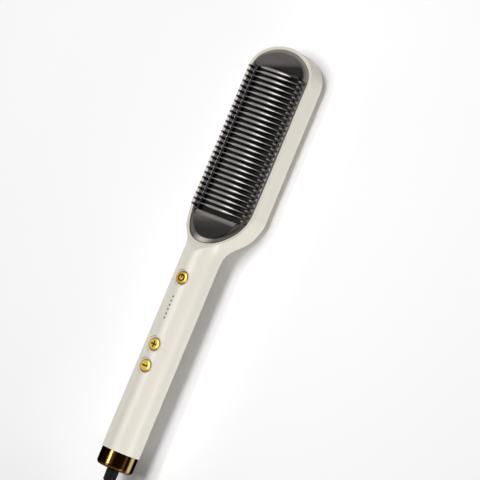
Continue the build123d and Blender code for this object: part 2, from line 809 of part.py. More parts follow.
with BuildPart() as insulation_film:
    block((2 * film_half, film_to - film_from, stack), (0, film_mid, clamp_top))
    inner = (2 * (film_half - FILM_WRAP), film_to - film_from + 1, stack - 2 * FILM_WRAP)
    with Locations((0, film_mid, clamp_top + stack / 2)):
        Box(*inner, mode=Mode.SUBTRACT)
finish("insulation_film", insulation_film.part)

with BuildPart() as heater_clamp:
    block((2 * CLAMP_HALF, film_to - film_from + 2, CLAMP_THICK), (0, film_mid, clamp_top - CLAMP_THICK))
    with Locations(*[(x, y, clamp_top) for x, y in clamp_places]):
        Hole(SCREW_D / 2)
    with Locations((0, film_mid, clamp_top - CLAMP_THICK)):
        with GridLocations(0, 24, 1, 3):
            Box(9, 15, 3, mode=Mode.SUBTRACT)
finish("heater_clamp", heater_clamp.part)

with BuildPart() as heat_shield:
    block((34, 98, SHIELD_THICK), (0, along(69), SHIELD_LOW_Z))
    fillet(heat_shield.edges().filter_by(Axis.Z), 4)
finish("heat_shield", heat_shield.part)

with BuildPart() as thermal_fuse:
    with Locations(Location((16.2, along(66), plate_low - 2), (90, 0, 0))):
        Cylinder(2, 11)
        Cylinder(0.4, 26)
finish("thermal_fuse", thermal_fuse.part)

with BuildPart() as thermistor:
    with Locations(Location((-16.2, along(66), plate_low - 1.5), (90, 0, 0))):
        Cylinder(1.5, 5)
        Cylinder(0.5, 16)
finish("thermistor", thermistor.part)

# Main board on two posts, with its switches, lamps and power parts
with BuildPart() as main_board:
    board_mid = along((BOARD_FROM + BOARD_TO) / 2)
    block((2 * BOARD_HALF, BOARD_TO - BOARD_FROM, BOARD_THICK), (0, board_mid, board_low))
    fillet(main_board.edges().filter_by(Axis.Z), 1.5)
    with Locations(*[(x, y, BOARD_TOP_Z) for x, y in post_places]):
        Hole(POST_HOLE_R)
finish("main_board", main_board.part)

with BuildPart() as key_switches:
    for at, diameter in key_places.values():
        block(SWITCH_BODY, (0, along(at), BOARD_TOP_Z))
        with Locations((0, along(at), BOARD_TOP_Z + SWITCH_BODY[2])):
            Hole(PLUNGER_D / 2 + 0.05, depth=SWITCH_BODY[2] - SWITCH_FLOOR)
finish("key_switches", key_switches.part)

with BuildPart() as indicator_lamps:
    for index in range(LAMP_COUNT):
        block((1.8, 1.4, 0.9), (0, along(LAMP_FIRST + index * LAMP_PITCH), BOARD_TOP_Z))
finish("indicator_lamps", indicator_lamps.part)

with BuildPart() as light_guide:
    lamp_mid = LAMP_FIRST + (LAMP_COUNT - 1) * LAMP_PITCH / 2
    block((2.8, 18.5, 1.5), (0, along(lamp_mid), up(HANDLE_R - WALL) - 1.6))
    for index in range(LAMP_COUNT):
        with BuildSketch(Plane.XY.offset(BOARD_TOP_Z + 1.4)):
            with Locations((0, along(LAMP_FIRST + index * LAMP_PITCH))):
                Circle(LAMP_D / 2)
        extrude(amount=up(HANDLE_R) - BOARD_TOP_Z - 1.4)
finish("light_guide", light_guide.part)

with BuildPart() as power_parts:
    block((11, 6, 8), (0, along(202.5), BOARD_TOP_Z))
    block((9, 3.6, 6), (0, along(220.3), BOARD_TOP_Z))
    block((10, 9, 4.5), (0, along(236.6), BOARD_TOP_Z))
finish("power_parts", power_parts.part)

with BuildPart() as terminal_block:
    block((12, 6, 7), (0, along(250.5), BOARD_TOP_Z))
finish("terminal_block", terminal_block.part)

# Keys: a domed gilt cap with an engraved sign, a flange that keeps it in, and the switch plunger below
flange_low = COLLAR_LOW_Z - 1.3
flange_top = COLLAR_LOW_Z - 0.1
plunger_long = SWITCH_BODY[2] - SWITCH_FLOOR - KEY_TRAVEL - 0.2
plunger_low = BOARD_TOP_Z + SWITCH_BODY[2] - plunger_long
for name, (at, diameter) in key_places.items():
    radius = diameter / 2
    edge = (radius, KEY_TOP_Z - 0.9)
    shoulder = (radius - 0.75, KEY_TOP_Z - 0.24)
    with BuildPart() as key:
        with BuildSketch(Plane.XZ):
            with BuildLine():
                Polyline(
                    (0, PLUNGER_TOP_Z),
                    (KEY_STEM_R, PLUNGER_TOP_Z),
                    (KEY_STEM_R, flange_low),
                    (radius + KEY_FLANGE, flange_low),
                    (radius + KEY_FLANGE, flange_top),
                    (radius, flange_top),
                    edge,
                )
                ThreePointArc(edge, (radius - 0.25, KEY_TOP_Z - 0.42), shoulder)
                ThreePointArc(shoulder, (radius - 1.2, KEY_TOP_Z - 0.08), (SIGN_R, KEY_TOP_Z))
                Polyline((SIGN_R, KEY_TOP_Z), (0, KEY_TOP_Z), (0, PLUNGER_TOP_Z))
            make_face()
        revolve(axis=Axis.Z)
        with BuildSketch(Plane.XY.offset(KEY_TOP_Z - SIGN_DEEP)):
            if name == "power_button":
                Circle(POWER_RING_R)
                Circle(POWER_RING_R - SIGN_STROKE, mode=Mode.SUBTRACT)
                with Locations((0, 1.9)):
                    Rectangle(1.9, 1.8, mode=Mode.SUBTRACT)
                with Locations((0, 1.5)):
                    Rectangle(SIGN_STROKE, 2.2)
            else:
                Rectangle(SIGN_LONG, SIGN_STROKE)
            if name == "plus_button":
                Rectangle(SIGN_STROKE, SIGN_LONG)
        extrude(amount=2, mode=Mode.SUBTRACT)
    finish(name, key.part.moved(Location((0, along(at), 0))))
    with BuildPart() as plunger:
        with BuildSketch(Plane.XY.offset(plunger_low)):
            with Locations((0, along(at))):
                Circle(PLUNGER_D / 2)
        extrude(amount=PLUNGER_TOP_Z - plunger_low)
    finish(name.replace("button", "plunger"), plunger.part)

# Tail: gilt cap, swivel socket, spindle with its two slip rings, and the boot
cap_profile = [
    (SPIGOT_FROM, CAP_INNER_R),
    (SPIGOT_FROM, SPIGOT_R),
    (HANDLE_END, SPIGOT_R),
    (HANDLE_END, CAP_R),
    (BODY_LENGTH, CAP_R),
    (BODY_LENGTH, CAP_BORE_R),
    (SOCKET_TO, CAP_BORE_R),
    (SOCKET_TO, CAP_INNER_R),
]
finish("tail_cap", turned(cap_profile, [(3, 0.3), (4, CAP_EDGE_R), (5, 0.5)]))

socket_floor = SOCKET_FROM + 2.5
socket_profile = [
    (SOCKET_FROM, 0),
    (SOCKET_FROM, CAP_INNER_R),
    (SOCKET_TO, CAP_INNER_R),
    (SOCKET_TO, SOCKET_BORE_R),
    (socket_floor, SOCKET_BORE_R),
    (socket_floor, 0),
]
contact_off = CONTACT_GAP + CONTACT_THICK / 2
contacts = [(-RING_SMALL_R - contact_off, RING_SMALL_AT + 2), (RING_LARGE_R + contact_off, RING_LARGE_AT + 2)]
contact_from = SOCKET_FROM - 2.5
with BuildPart() as swivel_socket:
    add(turned(socket_profile))
    for x, reach in contacts:
        with Locations((x, along(socket_floor - 2), AXIS_Z)):
            Box(CONTACT_THICK, 6, CONTACT_WIDE, mode=Mode.SUBTRACT)
finish("swivel_socket", swivel_socket.part)

with BuildPart() as brush_contacts:
    for x, reach in contacts:
        with Locations((x, along((contact_from + reach) / 2), AXIS_Z)):
            Box(CONTACT_THICK, reach - contact_from, CONTACT_WIDE)
finish("brush_contacts", brush_contacts.part)

boot_from = BODY_LENGTH + BOOT_GAP
spindle_from = socket_floor + 0.5
flange_from = SOCKET_TO - 3.6
flange_to = SOCKET_TO - 0.12
barb_to = boot_from + BARB_LONG
spindle_profile = [
    (spindle_from, SPINDLE_BORE_R),
    (spindle_from, SPINDLE_R),
    (flange_from, SPINDLE_R),
    (flange_from, FLANGE_R),
    (flange_to, FLANGE_R),
    (flange_to, NECK_R),
    (boot_from, NECK_R),
    (boot_from, BARB_R),
    (barb_to, BARB_R),
    (barb_to, SPINDLE_BORE_R),
]
finish("swivel_spindle", turned(spindle_profile))

with BuildPart() as slip_rings:
    for at, radius in ((RING_SMALL_AT, RING_SMALL_R), (RING_LARGE_AT, RING_LARGE_R)):
        end = at + RING_LONG
        add(turned([(at, SPINDLE_R), (at, radius), (end, radius), (end, SPINDLE_R)]))
finish("slip_rings", slip_rings.part)

# Boot: a plain root, then ribs that thin towards the cord
boot_end = BODY_LENGTH + BOOT_LENGTH
rib_step = (boot_end - 2 - barb_to) / RIB_COUNT
boot_profile = [(boot_from, BARB_R), (boot_from, BOOT_ROOT_R)]
for index in range(RIB_COUNT):
    start = barb_to + index * rib_step
    groove_end = start + RIB_GROOVE * rib_step
    radius = BOOT_ROOT_R + (BOOT_END_R - BOOT_ROOT_R) * (start - boot_from) / BOOT_LENGTH
    floor = radius - RIB_DEEP
    boot_profile += [(start, radius), (start, floor), (groove_end, floor), (groove_end, radius)]
boot_profile += [(boot_end, BOOT_END_R), (boot_end, 0), (barb_to, 0), (barb_to, BARB_R)]
finish("strain_relief", turned(boot_profile, [(1, 0.5)]))

# Leads inside: two from the contacts to the terminals, two from the board to the heater strips
supply_z = BOARD_TOP_Z + 3
with BuildPart() as supply_leads:
    for x, reach in contacts:
        side = 1 if x > 0 else -1
        points = [(x, along(contact_from), AXIS_Z), (x, along(261), AXIS_Z), (side * 4, along(257), supply_z),
                  (side * 4, along(253.5), supply_z)]
        add(rod(points, 0.6, 1.2))
finish("supply_leads", supply_leads.part)

strip_end = film_to + 2
lead_z = BOARD_TOP_Z + 0.8
with BuildPart() as heater_leads:
    for side, low in [(-1, clamp_top + 0.6), (1, plate_low - 0.85)]:
        points = [(side * 5.5, along(strip_end), low), (side * 5.5, along(strip_end + 8), low),
                  (side * 5.5, along(150), lead_z), (side * 5.5, along(164.5), lead_z)]
        add(rod(points, 0.8, 6))
finish("heater_leads", heater_leads.part)

# Free cord: straight out of the boot, down to the floor, and into a neat hank held by a tie
route = [
    (0.0, along(boot_end), AXIS_Z),
    (0.0, -186.0, AXIS_Z),
    (5.0, -210.0, 11.0),
    (14.0, -235.0, cord_low_z),
    (HANK_START[0], -260.0, cord_low_z),
    (HANK_START[0], HANK_START[1] + CORD_D, cord_low_z),
]


cord_tube("power_cord", route)

# Each run is two spans with the waist between them, and each fold is one
lap_stops = (0, HANK_CLIMB / 2, HANK_CLIMB)
laps = [lap / 2 + stop for lap in range(round(2 * HANK_TURNS) + 1) for stop in lap_stops]
stops = [lap for lap in laps if lap <= HANK_TURNS]
headings = [hank_heading(stop) for stop in stops]
headings[0] = Vector(0, -1, 0)
headings[-1] = Vector(0, 1, 0)
hank_from = hank_place(0)
hank_to = hank_place(HANK_TURNS)
with BuildPart() as cord_hank:
    with BuildLine() as hank_line:
        Line(hank_from + Vector(0, CORD_D, 0), hank_from)
        for first, last, leave, reach in zip(stops, stops[1:], headings, headings[1:]):
            biarc(hank_place(first), leave, hank_place(last), reach)
        Line(hank_to, hank_to + Vector(0, CORD_D, 0))
    hank_wire = hank_line.wire()
    with BuildSketch(Plane(origin=hank_wire @ 0, z_dir=hank_wire % 0)):
        Circle(CORD_R)
    sweep(path=hank_wire)
finish("cord_hank", cord_hank.part)

samples = 900
hank_points = [hank_wire @ (index / samples) for index in range(samples + 1)]
spacing = hank_wire.length / samples
skip = int(30 / spacing)
least = min(
    (hank_points[one] - hank_points[other]).length
    for one in range(0, samples + 1)
    for other in range(one + skip, samples + 1)
)
print("hank length", round(hank_wire.length, 1), "least gap", round(least - CORD_D, 2))
print("hank volume ratio", round(cord_hank.part.volume / (pi * CORD_R**2 * hank_wire.length), 4))

# Tie round the hank's waist
waist = [point.X for point in hank_points if abs(point.Y - hank_y) < TIE_WIDE / 2 + 1]
tie_from = min(waist) - CORD_R - TIE_ROOM
tie_to = max(waist) + CORD_R + TIE_ROOM
tie_high = CORD_D + len(HANK_REVERSALS) * HANK_LAYER + TIE_ROOM
with BuildPart() as cord_tie:
    with BuildSketch(Plane.XZ.offset(-(hank_y + TIE_WIDE / 2))):
        with Locations(((tie_from + tie_to) / 2, CORD_LIFT + tie_high / 2)):
            RectangleRounded(tie_to - tie_from + 2 * TIE_THICK, tie_high + 2 * TIE_THICK, CORD_R)
            RectangleRounded(tie_to - tie_from, tie_high, CORD_R - TIE_THICK, mode=Mode.SUBTRACT)
    extrude(amount=TIE_WIDE)
finish("cord_tie", cord_tie.part)

# The cord's far end comes down from the hank's top to a two-blade plug that lies beside the boot
lead_from = hank_to + Vector(0, CORD_D + CORD_MEET, 0)
plug_end = Vector(PLUG_X, PLUG_BACK_Y, PLUG_HALF_HIGH)
lead_route = [
    (lead_from.X, lead_from.Y, lead_from.Z),
    (lead_from.X, lead_from.Y + 15, lead_from.Z),
    (lead_from.X + 2, lead_from.Y + 35, 15.5),
    (PLUG_X, lead_from.Y + 54, PLUG_HALF_HIGH),
    (PLUG_X, PLUG_BACK_Y, PLUG_HALF_HIGH),
]
cord_tube("plug_lead", lead_route)

with BuildPart() as plug_body:
    for distance, half_wide, half_high, corner in PLUG_STATIONS:
        with BuildSketch(Plane.XZ.offset(-(plug_end.Y + distance))):
            with Locations((plug_end.X, plug_end.Z)):
                RectangleRounded(2 * half_wide, 2 * half_high, corner)
    loft(ruled=True)
finish("plug_body", plug_body.part)

with BuildPart() as plug_blades:
    for side in (-1, 1):
        blade_y = plug_end.Y + PLUG_LONG + BLADE[1] / 2
        with Locations((plug_end.X + side * BLADE_APART / 2, blade_y, plug_end.Z)):
            Box(*BLADE)
finish("plug_blades", plug_blades.part)
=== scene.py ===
"""Finishes, pieces, cord, camera and light for a heated hair straightening brush with a gilt tail cap."""

from math import cos, pi, radians, sin, sqrt

import bmesh
import bpy
from bpy.props import FloatProperty, FloatVectorProperty, IntProperty, PointerProperty
from mathutils import Matrix, Vector


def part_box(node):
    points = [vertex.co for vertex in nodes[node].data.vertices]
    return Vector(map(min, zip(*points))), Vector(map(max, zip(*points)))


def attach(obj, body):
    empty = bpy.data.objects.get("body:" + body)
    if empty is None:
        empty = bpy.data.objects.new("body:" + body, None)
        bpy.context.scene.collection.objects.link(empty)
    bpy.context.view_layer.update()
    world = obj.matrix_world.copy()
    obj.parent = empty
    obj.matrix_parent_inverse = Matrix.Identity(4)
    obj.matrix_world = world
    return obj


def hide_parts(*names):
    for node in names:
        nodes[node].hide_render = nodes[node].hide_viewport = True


bl_info = {
    "name": "Hair straightening brush",
    "version": (1, 0, 0),
    "blender": (4, 5, 0),
    "location": "View3D > Sidebar > Brush",
    "description": "Pieces, finishes and studio for a heated straightening brush",
    "category": "Object",
}

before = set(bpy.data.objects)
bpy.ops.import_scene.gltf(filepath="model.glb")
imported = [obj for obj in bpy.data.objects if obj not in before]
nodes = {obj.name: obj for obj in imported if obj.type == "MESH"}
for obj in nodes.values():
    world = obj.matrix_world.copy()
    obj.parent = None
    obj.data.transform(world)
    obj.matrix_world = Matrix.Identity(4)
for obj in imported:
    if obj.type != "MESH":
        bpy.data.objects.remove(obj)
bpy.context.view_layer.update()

# The handle's axis above the floor, and the head's tip and the boot's end from the origin, in metres.
AXIS_HEIGHT = 0.022
TIP_Y = 0.16395


class BrushView(bpy.types.PropertyGroup):
    """Where the camera looks from."""

    aim: FloatVectorProperty(
        name="Aim", description="Point at the centre of the picture",
        default=(0.0155, 0.03505, 0.0116), subtype="TRANSLATION", unit="LENGTH")
    lean: FloatProperty(
        name="Lean", description="How far the camera leans to the brush's right side",
        default=radians(34), subtype="ANGLE")
    tilt: FloatProperty(
        name="Tilt", description="How far the camera leans towards the cord",
        default=radians(2), subtype="ANGLE")
    roll: FloatProperty(
        name="Roll", description="Turn of the brush in the picture",
        default=radians(22.6), subtype="ANGLE")
    width: FloatProperty(
        name="Width", description="What the picture spans at the brush",
        default=0.313, unit="LENGTH")
    lens: FloatProperty(name="Lens", description="Focal length in millimetres", default=200)


class BrushCord(bpy.types.PropertyGroup):
    """The mains cord and its hank."""

    diameter: FloatProperty(name="Diameter", description="Cord thickness", default=0.006, unit="LENGTH")
    length: FloatProperty(name="Length", description="Whole cord", default=1.838, unit="LENGTH")
    fold_radius: FloatProperty(
        name="Fold radius", description="Outermost loop's half turn", default=0.0285, unit="LENGTH")
    step: FloatProperty(
        name="Step", description="From one loop to the next, across", default=0.0071, unit="LENGTH")
    layer: FloatProperty(
        name="Layer", description="From one layer to the next, up", default=0.0066, unit="LENGTH")
    run: FloatProperty(
        name="Run", description="Half the straight part of a loop", default=0.035, unit="LENGTH")
    draw: FloatProperty(
        name="Waist", description="How far the tie draws a run in", default=0.008, unit="LENGTH")
    turns: FloatProperty(name="Turns", description="Loops of the hank", default=5.75)
    floor_gap: FloatProperty(
        name="Floor gap", description="Cord's middle line above the floor", default=0.0034, unit="LENGTH")


class BrushComb(bpy.types.PropertyGroup):
    """The heated fins and the rows of outer teeth."""

    fins: IntProperty(name="Fins", description="Number of fins", default=27)
    first: FloatProperty(
        name="First fin", description="From the head's tip to the first fin", default=0.0218, unit="LENGTH")
    pitch: FloatProperty(
        name="Pitch", description="From one fin to the next", default=0.003627, unit="LENGTH")
    half: FloatProperty(name="Half width", description="Half a fin across", default=0.0189, unit="LENGTH")
    overhang: FloatProperty(
        name="Overhang", description="A fin's end over the frame", default=0.0013, unit="LENGTH")
    lens: FloatProperty(
        name="Lens", description="Half of a fin's thick middle", default=0.0118, unit="LENGTH")
    thick: FloatProperty(name="Thickness", description="Fin at its middle", default=0.0022, unit="LENGTH")
    thin: FloatProperty(name="End thickness", description="Fin at its ends", default=0.0009, unit="LENGTH")
    crest: FloatProperty(
        name="Crest", description="Fin's top above the handle's axis", default=0.0058, unit="LENGTH")
    end_crest: FloatProperty(
        name="End crest", description="Fin's ends above the handle's axis", default=0.0006, unit="LENGTH")
    tooth_row: FloatProperty(
        name="Tooth row", description="From the middle to a row of teeth", default=0.0208, unit="LENGTH")
    tooth_top: FloatProperty(
        name="Tooth top", description="Teeth above the handle's axis", default=0.005, unit="LENGTH")


class BrushColours(bpy.types.PropertyGroup):
    """Main colours of the brush."""

    shell: FloatVectorProperty(
        name="Shell", description="Cream housing", default=(0.615, 0.583, 0.513), size=3, subtype="COLOR")
    bezel: FloatVectorProperty(
        name="Bezel", description="Grey comb frame", default=(0.065, 0.058, 0.054), size=3, subtype="COLOR")
    comb: FloatVectorProperty(
        name="Comb", description="Heated fins", default=(0.012, 0.0095, 0.008), size=3, subtype="COLOR")
    gilt: FloatVectorProperty(
        name="Gilt", description="Keys", default=(0.50, 0.36, 0.085), size=3, subtype="COLOR")
    bronze: FloatVectorProperty(
        name="Bronze", description="Tail cap's dark metal",
        default=(0.009, 0.0038, 0.001), size=3, subtype="COLOR")
    cord: FloatVectorProperty(
        name="Cord", description="Cord and plug", default=(0.009, 0.009, 0.0095), size=3, subtype="COLOR")


def view():
    return bpy.context.scene.brush_view


def cord():
    return bpy.context.scene.brush_cord


def comb():
    return bpy.context.scene.brush_comb


def colours():
    return bpy.context.scene.brush_colours


class Value:
    """A socket's number, so that shader sums are written as plain sums."""

    def __init__(self, finish, socket):
        self.finish = finish
        self.socket = socket

    def sum(self, operation, *values):
        return self.finish.node("ShaderNodeMath", {"operation": operation}, dict(enumerate(values)))

    def __add__(self, other):
        return self.sum("ADD", self, other)

    def __radd__(self, other):
        return self.sum("ADD", other, self)

    def __sub__(self, other):
        return self.sum("SUBTRACT", self, other)

    def __rsub__(self, other):
        return self.sum("SUBTRACT", other, self)

    def __mul__(self, other):
        return self.sum("MULTIPLY", self, other)

    def __rmul__(self, other):
        return self.sum("MULTIPLY", other, self)

    def __truediv__(self, other):
        return self.sum("DIVIDE", self, other)

    def __pow__(self, other):
        return self.sum("POWER", self, other)

    def __gt__(self, other):
        return self.sum("GREATER_THAN", self, other)

    def __lt__(self, other):
        return self.sum("LESS_THAN", self, other)

    def size(self):
        return self.sum("ABSOLUTE", self)

    def least(self, other):
        return self.sum("MINIMUM", self, other)

    def most(self, other):
        return self.sum("MAXIMUM", self, other)


class Finish:
    """A material being made: its nodes, its shader and the coordinates of its pattern."""

    def __init__(self, name, colour, roughness, **constants):
        self.material = bpy.data.materials.new(name)
        self.material.use_nodes = True
        self.tree = self.material.node_tree
        self.shader = self.tree.nodes["Principled BSDF"]
        self.colour = colour
        self.set("Base Color", (*colour, 1))
        self.set("Roughness", roughness)
        for socket, value in constants.items():
            self.set(socket.replace("_", " ").title().replace("Ior", "IOR"), value)
        self.place = self.node("ShaderNodeTexCoord", {}, {}, "Object")

    def link(self, node, socket, value):
        place = node.inputs[socket]
        if isinstance(value, Value):
            self.tree.links.new(value.socket, place)
        else:
            place.default_value = value

    def set(self, socket, value):
        self.link(self.shader, socket, value)

    def node(self, kind, settings, sockets, output=0):
        """A node of a kind, with its settings made first and then its sockets' values or links."""
        made = self.tree.nodes.new(kind)
        for setting, value in settings.items():
            if setting == "stops":
                for _ in range(len(value) - 2):
                    made.color_ramp.elements.new(0.5)
                for element, (position, colour) in zip(made.color_ramp.elements, value):
                    element.position = position
                    element.color = colour
            else:
                setattr(made, setting, value)
        for socket, value in sockets.items():
            self.link(made, socket, value)
        return Value(self, made.outputs[output])

    def axes(self):
        """The pattern coordinates as three numbers."""
        split = self.node("ShaderNodeSeparateXYZ", {}, {"Vector": self.place})
        outputs = split.socket.node.outputs
        return Value(self, outputs[0]), Value(self, outputs[1]), Value(self, outputs[2])

    def stretched(self, scale):
        return self.node("ShaderNodeMapping", {}, {"Vector": self.place, "Scale": scale})

    def noise(self, scale, detail=3.0, roughness=0.5, stretch=(1, 1, 1)):
        sockets = {"Scale": scale, "Detail": detail, "Roughness": roughness}
        sockets["Vector"] = self.place if stretch == (1, 1, 1) else self.stretched(stretch)
        return self.node("ShaderNodeTexNoise", {}, sockets)

    def ramp(self, value, *stops):
        """A number read through stops of position and height."""
        grey = [(position, (height, height, height, 1)) for position, height in stops]
        return self.node("ShaderNodeValToRGB", {"stops": grey}, {"Fac": value})

    def mix(self, share, one, other):
        """One colour giving way to the other by a share."""
        made = self.node("ShaderNodeMix", {"data_type": "RGBA"}, {"Factor": share}, "Result")
        mixer = made.socket.node
        places = [place for place in mixer.inputs if place.type == "RGBA"]
        for place, value in zip(places, (one, other)):
            if isinstance(value, Value):
                self.tree.links.new(value.socket, place)
            else:
                place.default_value = (*value, 1)
        return Value(self, [place for place in mixer.outputs if place.type == "RGBA"][0])

    def bump(self, height, distance):
        sockets = {"Height": height, "Distance": distance, "Strength": 1.0}
        self.set("Normal", self.node("ShaderNodeBump", {}, sockets))

    def shaded(self, factor):
        """The finish's own colour made lighter or darker."""
        return tuple(min(part * factor, 1.0) for part in self.colour)


def satin(name, colour, roughness, grain=900.0, depth=0.00002, drift=0.05, **constants):
    """Moulded plastic: a fine even texture, and a slight drift of tone and gloss over the surface."""
    finish = Finish(name, colour, roughness, **constants)
    cloud = finish.noise(14.0, 3.0)
    finish.set("Base Color", finish.mix(cloud, finish.shaded(1 - drift), finish.shaded(1 + drift)))
    fine = finish.noise(grain, 2.0)
    finish.set("Roughness", cloud * 0.10 + fine * 0.06 + (roughness - 0.08))
    finish.bump(fine, depth)
    return finish


def metal(name, colour, roughness, stretch=(1, 1, 12)):
    """Bare metal with a fine drawn grain."""
    finish = Finish(name, colour, roughness, metallic=1.0)
    drawn = finish.noise(700.0, 2.0, 0.6, stretch)
    cloud = finish.noise(40.0, 2.0)
    finish.set("Base Color", finish.mix(cloud, finish.shaded(0.88), finish.shaded(1.06)))
    finish.set("Roughness", drawn * 0.14 + (roughness - 0.07))
    finish.bump(drawn, 0.00001)
    return finish


def dress(finish, slot, *names):
    """Give CAD nodes a finish. The slot it is given is not used."""
    for name in names:
        node = nodes[name]
        node.data.materials.clear()
        node.data.materials.append(finish.material)


def dress_piece(piece, finish):
    """Give a new piece its finish, and let it ride on the main body."""
    piece.data.materials.clear()
    piece.data.materials.append(finish.material)
    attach(piece, "root")


def begin(kind, name, **settings):
    """A primitive at its size and place, open in edit mode with nothing selected."""
    bpy.ops.object.select_all(action="DESELECT")
    getattr(bpy.ops.mesh, f"primitive_{kind}_add")(**settings)
    piece = bpy.context.object
    piece.name = name
    piece.data.name = name
    bpy.ops.object.transform_apply(location=True, rotation=True, scale=True)
    bpy.ops.object.mode_set(mode="EDIT")
    bpy.ops.mesh.select_all(action="DESELECT")
    return piece


def pick(kind, test):
    """Select the vertices, edges or faces that pass a test, in the mesh being edited."""
    bpy.ops.mesh.select_all(action="DESELECT")
    bpy.ops.mesh.select_mode(type=kind)
    mesh = bmesh.from_edit_mesh(bpy.context.object.data)
    parts = {"VERT": mesh.verts, "EDGE": mesh.edges, "FACE": mesh.faces}[kind]
    for part in parts:
        if test(part):
            part.select_set(True)
    bmesh.update_edit_mesh(bpy.context.object.data)


def shape(place, chosen=False):
    """Move each vertex of the mesh being edited, or each selected one, to where place puts it."""
    mesh = bmesh.from_edit_mesh(bpy.context.object.data)
    for vertex in mesh.verts:
        if vertex.select or not chosen:
            vertex.co = place(vertex.co)
    bmesh.update_edit_mesh(bpy.context.object.data)


def runs_along(edge, axis):
    """Whether an edge lies along an axis."""
    return abs((edge.verts[1].co - edge.verts[0].co).normalized()[axis]) > 0.99


def face_outwards():
    """Turn every face of the mesh being edited outwards."""
    bpy.ops.mesh.select_all(action="SELECT")
    bpy.ops.mesh.normals_make_consistent(inside=False)


def soften(width, segments):
    """Bevel every edge of the mesh being edited."""
    bpy.ops.mesh.select_all(action="SELECT")
    bpy.ops.mesh.bevel(offset=width, segments=segments)


def squared(turn, power):
    """How far a rounded square's edge is along a direction, where its half side is one."""
    return (abs(turn.x) ** power + abs(turn.y) ** power) ** (-1 / power)


def finished(piece, *modifiers, smooth=35):
    """Leave edit mode, apply modifiers in turn and shade the piece."""
    bpy.ops.object.mode_set(mode="OBJECT")
    for kind, settings in modifiers:
        modifier = piece.modifiers.new(kind.lower(), kind)
        for setting, value in settings.items():
            setattr(modifier, setting, value)
        bpy.ops.object.modifier_apply(modifier=modifier.name)
    bpy.ops.object.shade_smooth_by_angle(angle=radians(smooth))
    return piece


def joined(name, pieces):
    """Several pieces made one."""
    bpy.ops.object.select_all(action="DESELECT")
    for piece in pieces:
        piece.select_set(True)
    bpy.context.view_layer.objects.active = pieces[0]
    bpy.ops.object.join()
    pieces[0].name = name
    pieces[0].data.name = name
    return pieces[0]


def copies(piece, moves):
    """The piece and a copy of it at each further move, each with its own mesh."""
    made = [piece]
    for move in moves:
        twin = piece.copy()
        twin.data = piece.data.copy()
        twin.data.transform(Matrix.Translation(move))
        bpy.context.scene.collection.objects.link(twin)
        made.append(twin)
    return made


class BrushOperator(bpy.types.Operator):
    """Makes one part of the brush's scene."""

    bl_options = {"REGISTER", "UNDO"}

    def execute(self, context):
        if context.object and context.object.mode != "OBJECT":
            bpy.ops.object.mode_set(mode="OBJECT")
        bpy.ops.object.select_all(action="DESELECT")
        self.make(context)
        bpy.ops.object.select_all(action="DESELECT")
        return {"FINISHED"}


class BRUSH_OT_camera(BrushOperator):
    """Sets the camera at the picture's viewing angle"""

    bl_idname = "brush.camera"
    bl_label = "Camera"

    def make(self, context):
        look = view()
        back = Vector((sin(look.lean) * cos(look.tilt), -sin(look.tilt), cos(look.lean) * cos(look.tilt)))
        across = Vector((cos(look.lean), 0, -sin(look.lean)))
        upward = back.cross(across)
        right = across * cos(look.roll) + upward * sin(look.roll)
        top = upward * cos(look.roll) - across * sin(look.roll)
        sensor = 36
        distance = look.width * look.lens / sensor
        place = Vector(look.aim) + back * distance
        bpy.ops.object.camera_add(location=place)
        camera = context.object
        camera.name = "picture_camera"
        camera.data.sensor_width = sensor
        camera.data.lens = look.lens
        camera.data.clip_start = 0.05
        camera.data.clip_end = 20
        turn = Matrix((right, top, back)).transposed()
        camera.rotation_euler = turn.to_euler()
        context.scene.camera = camera


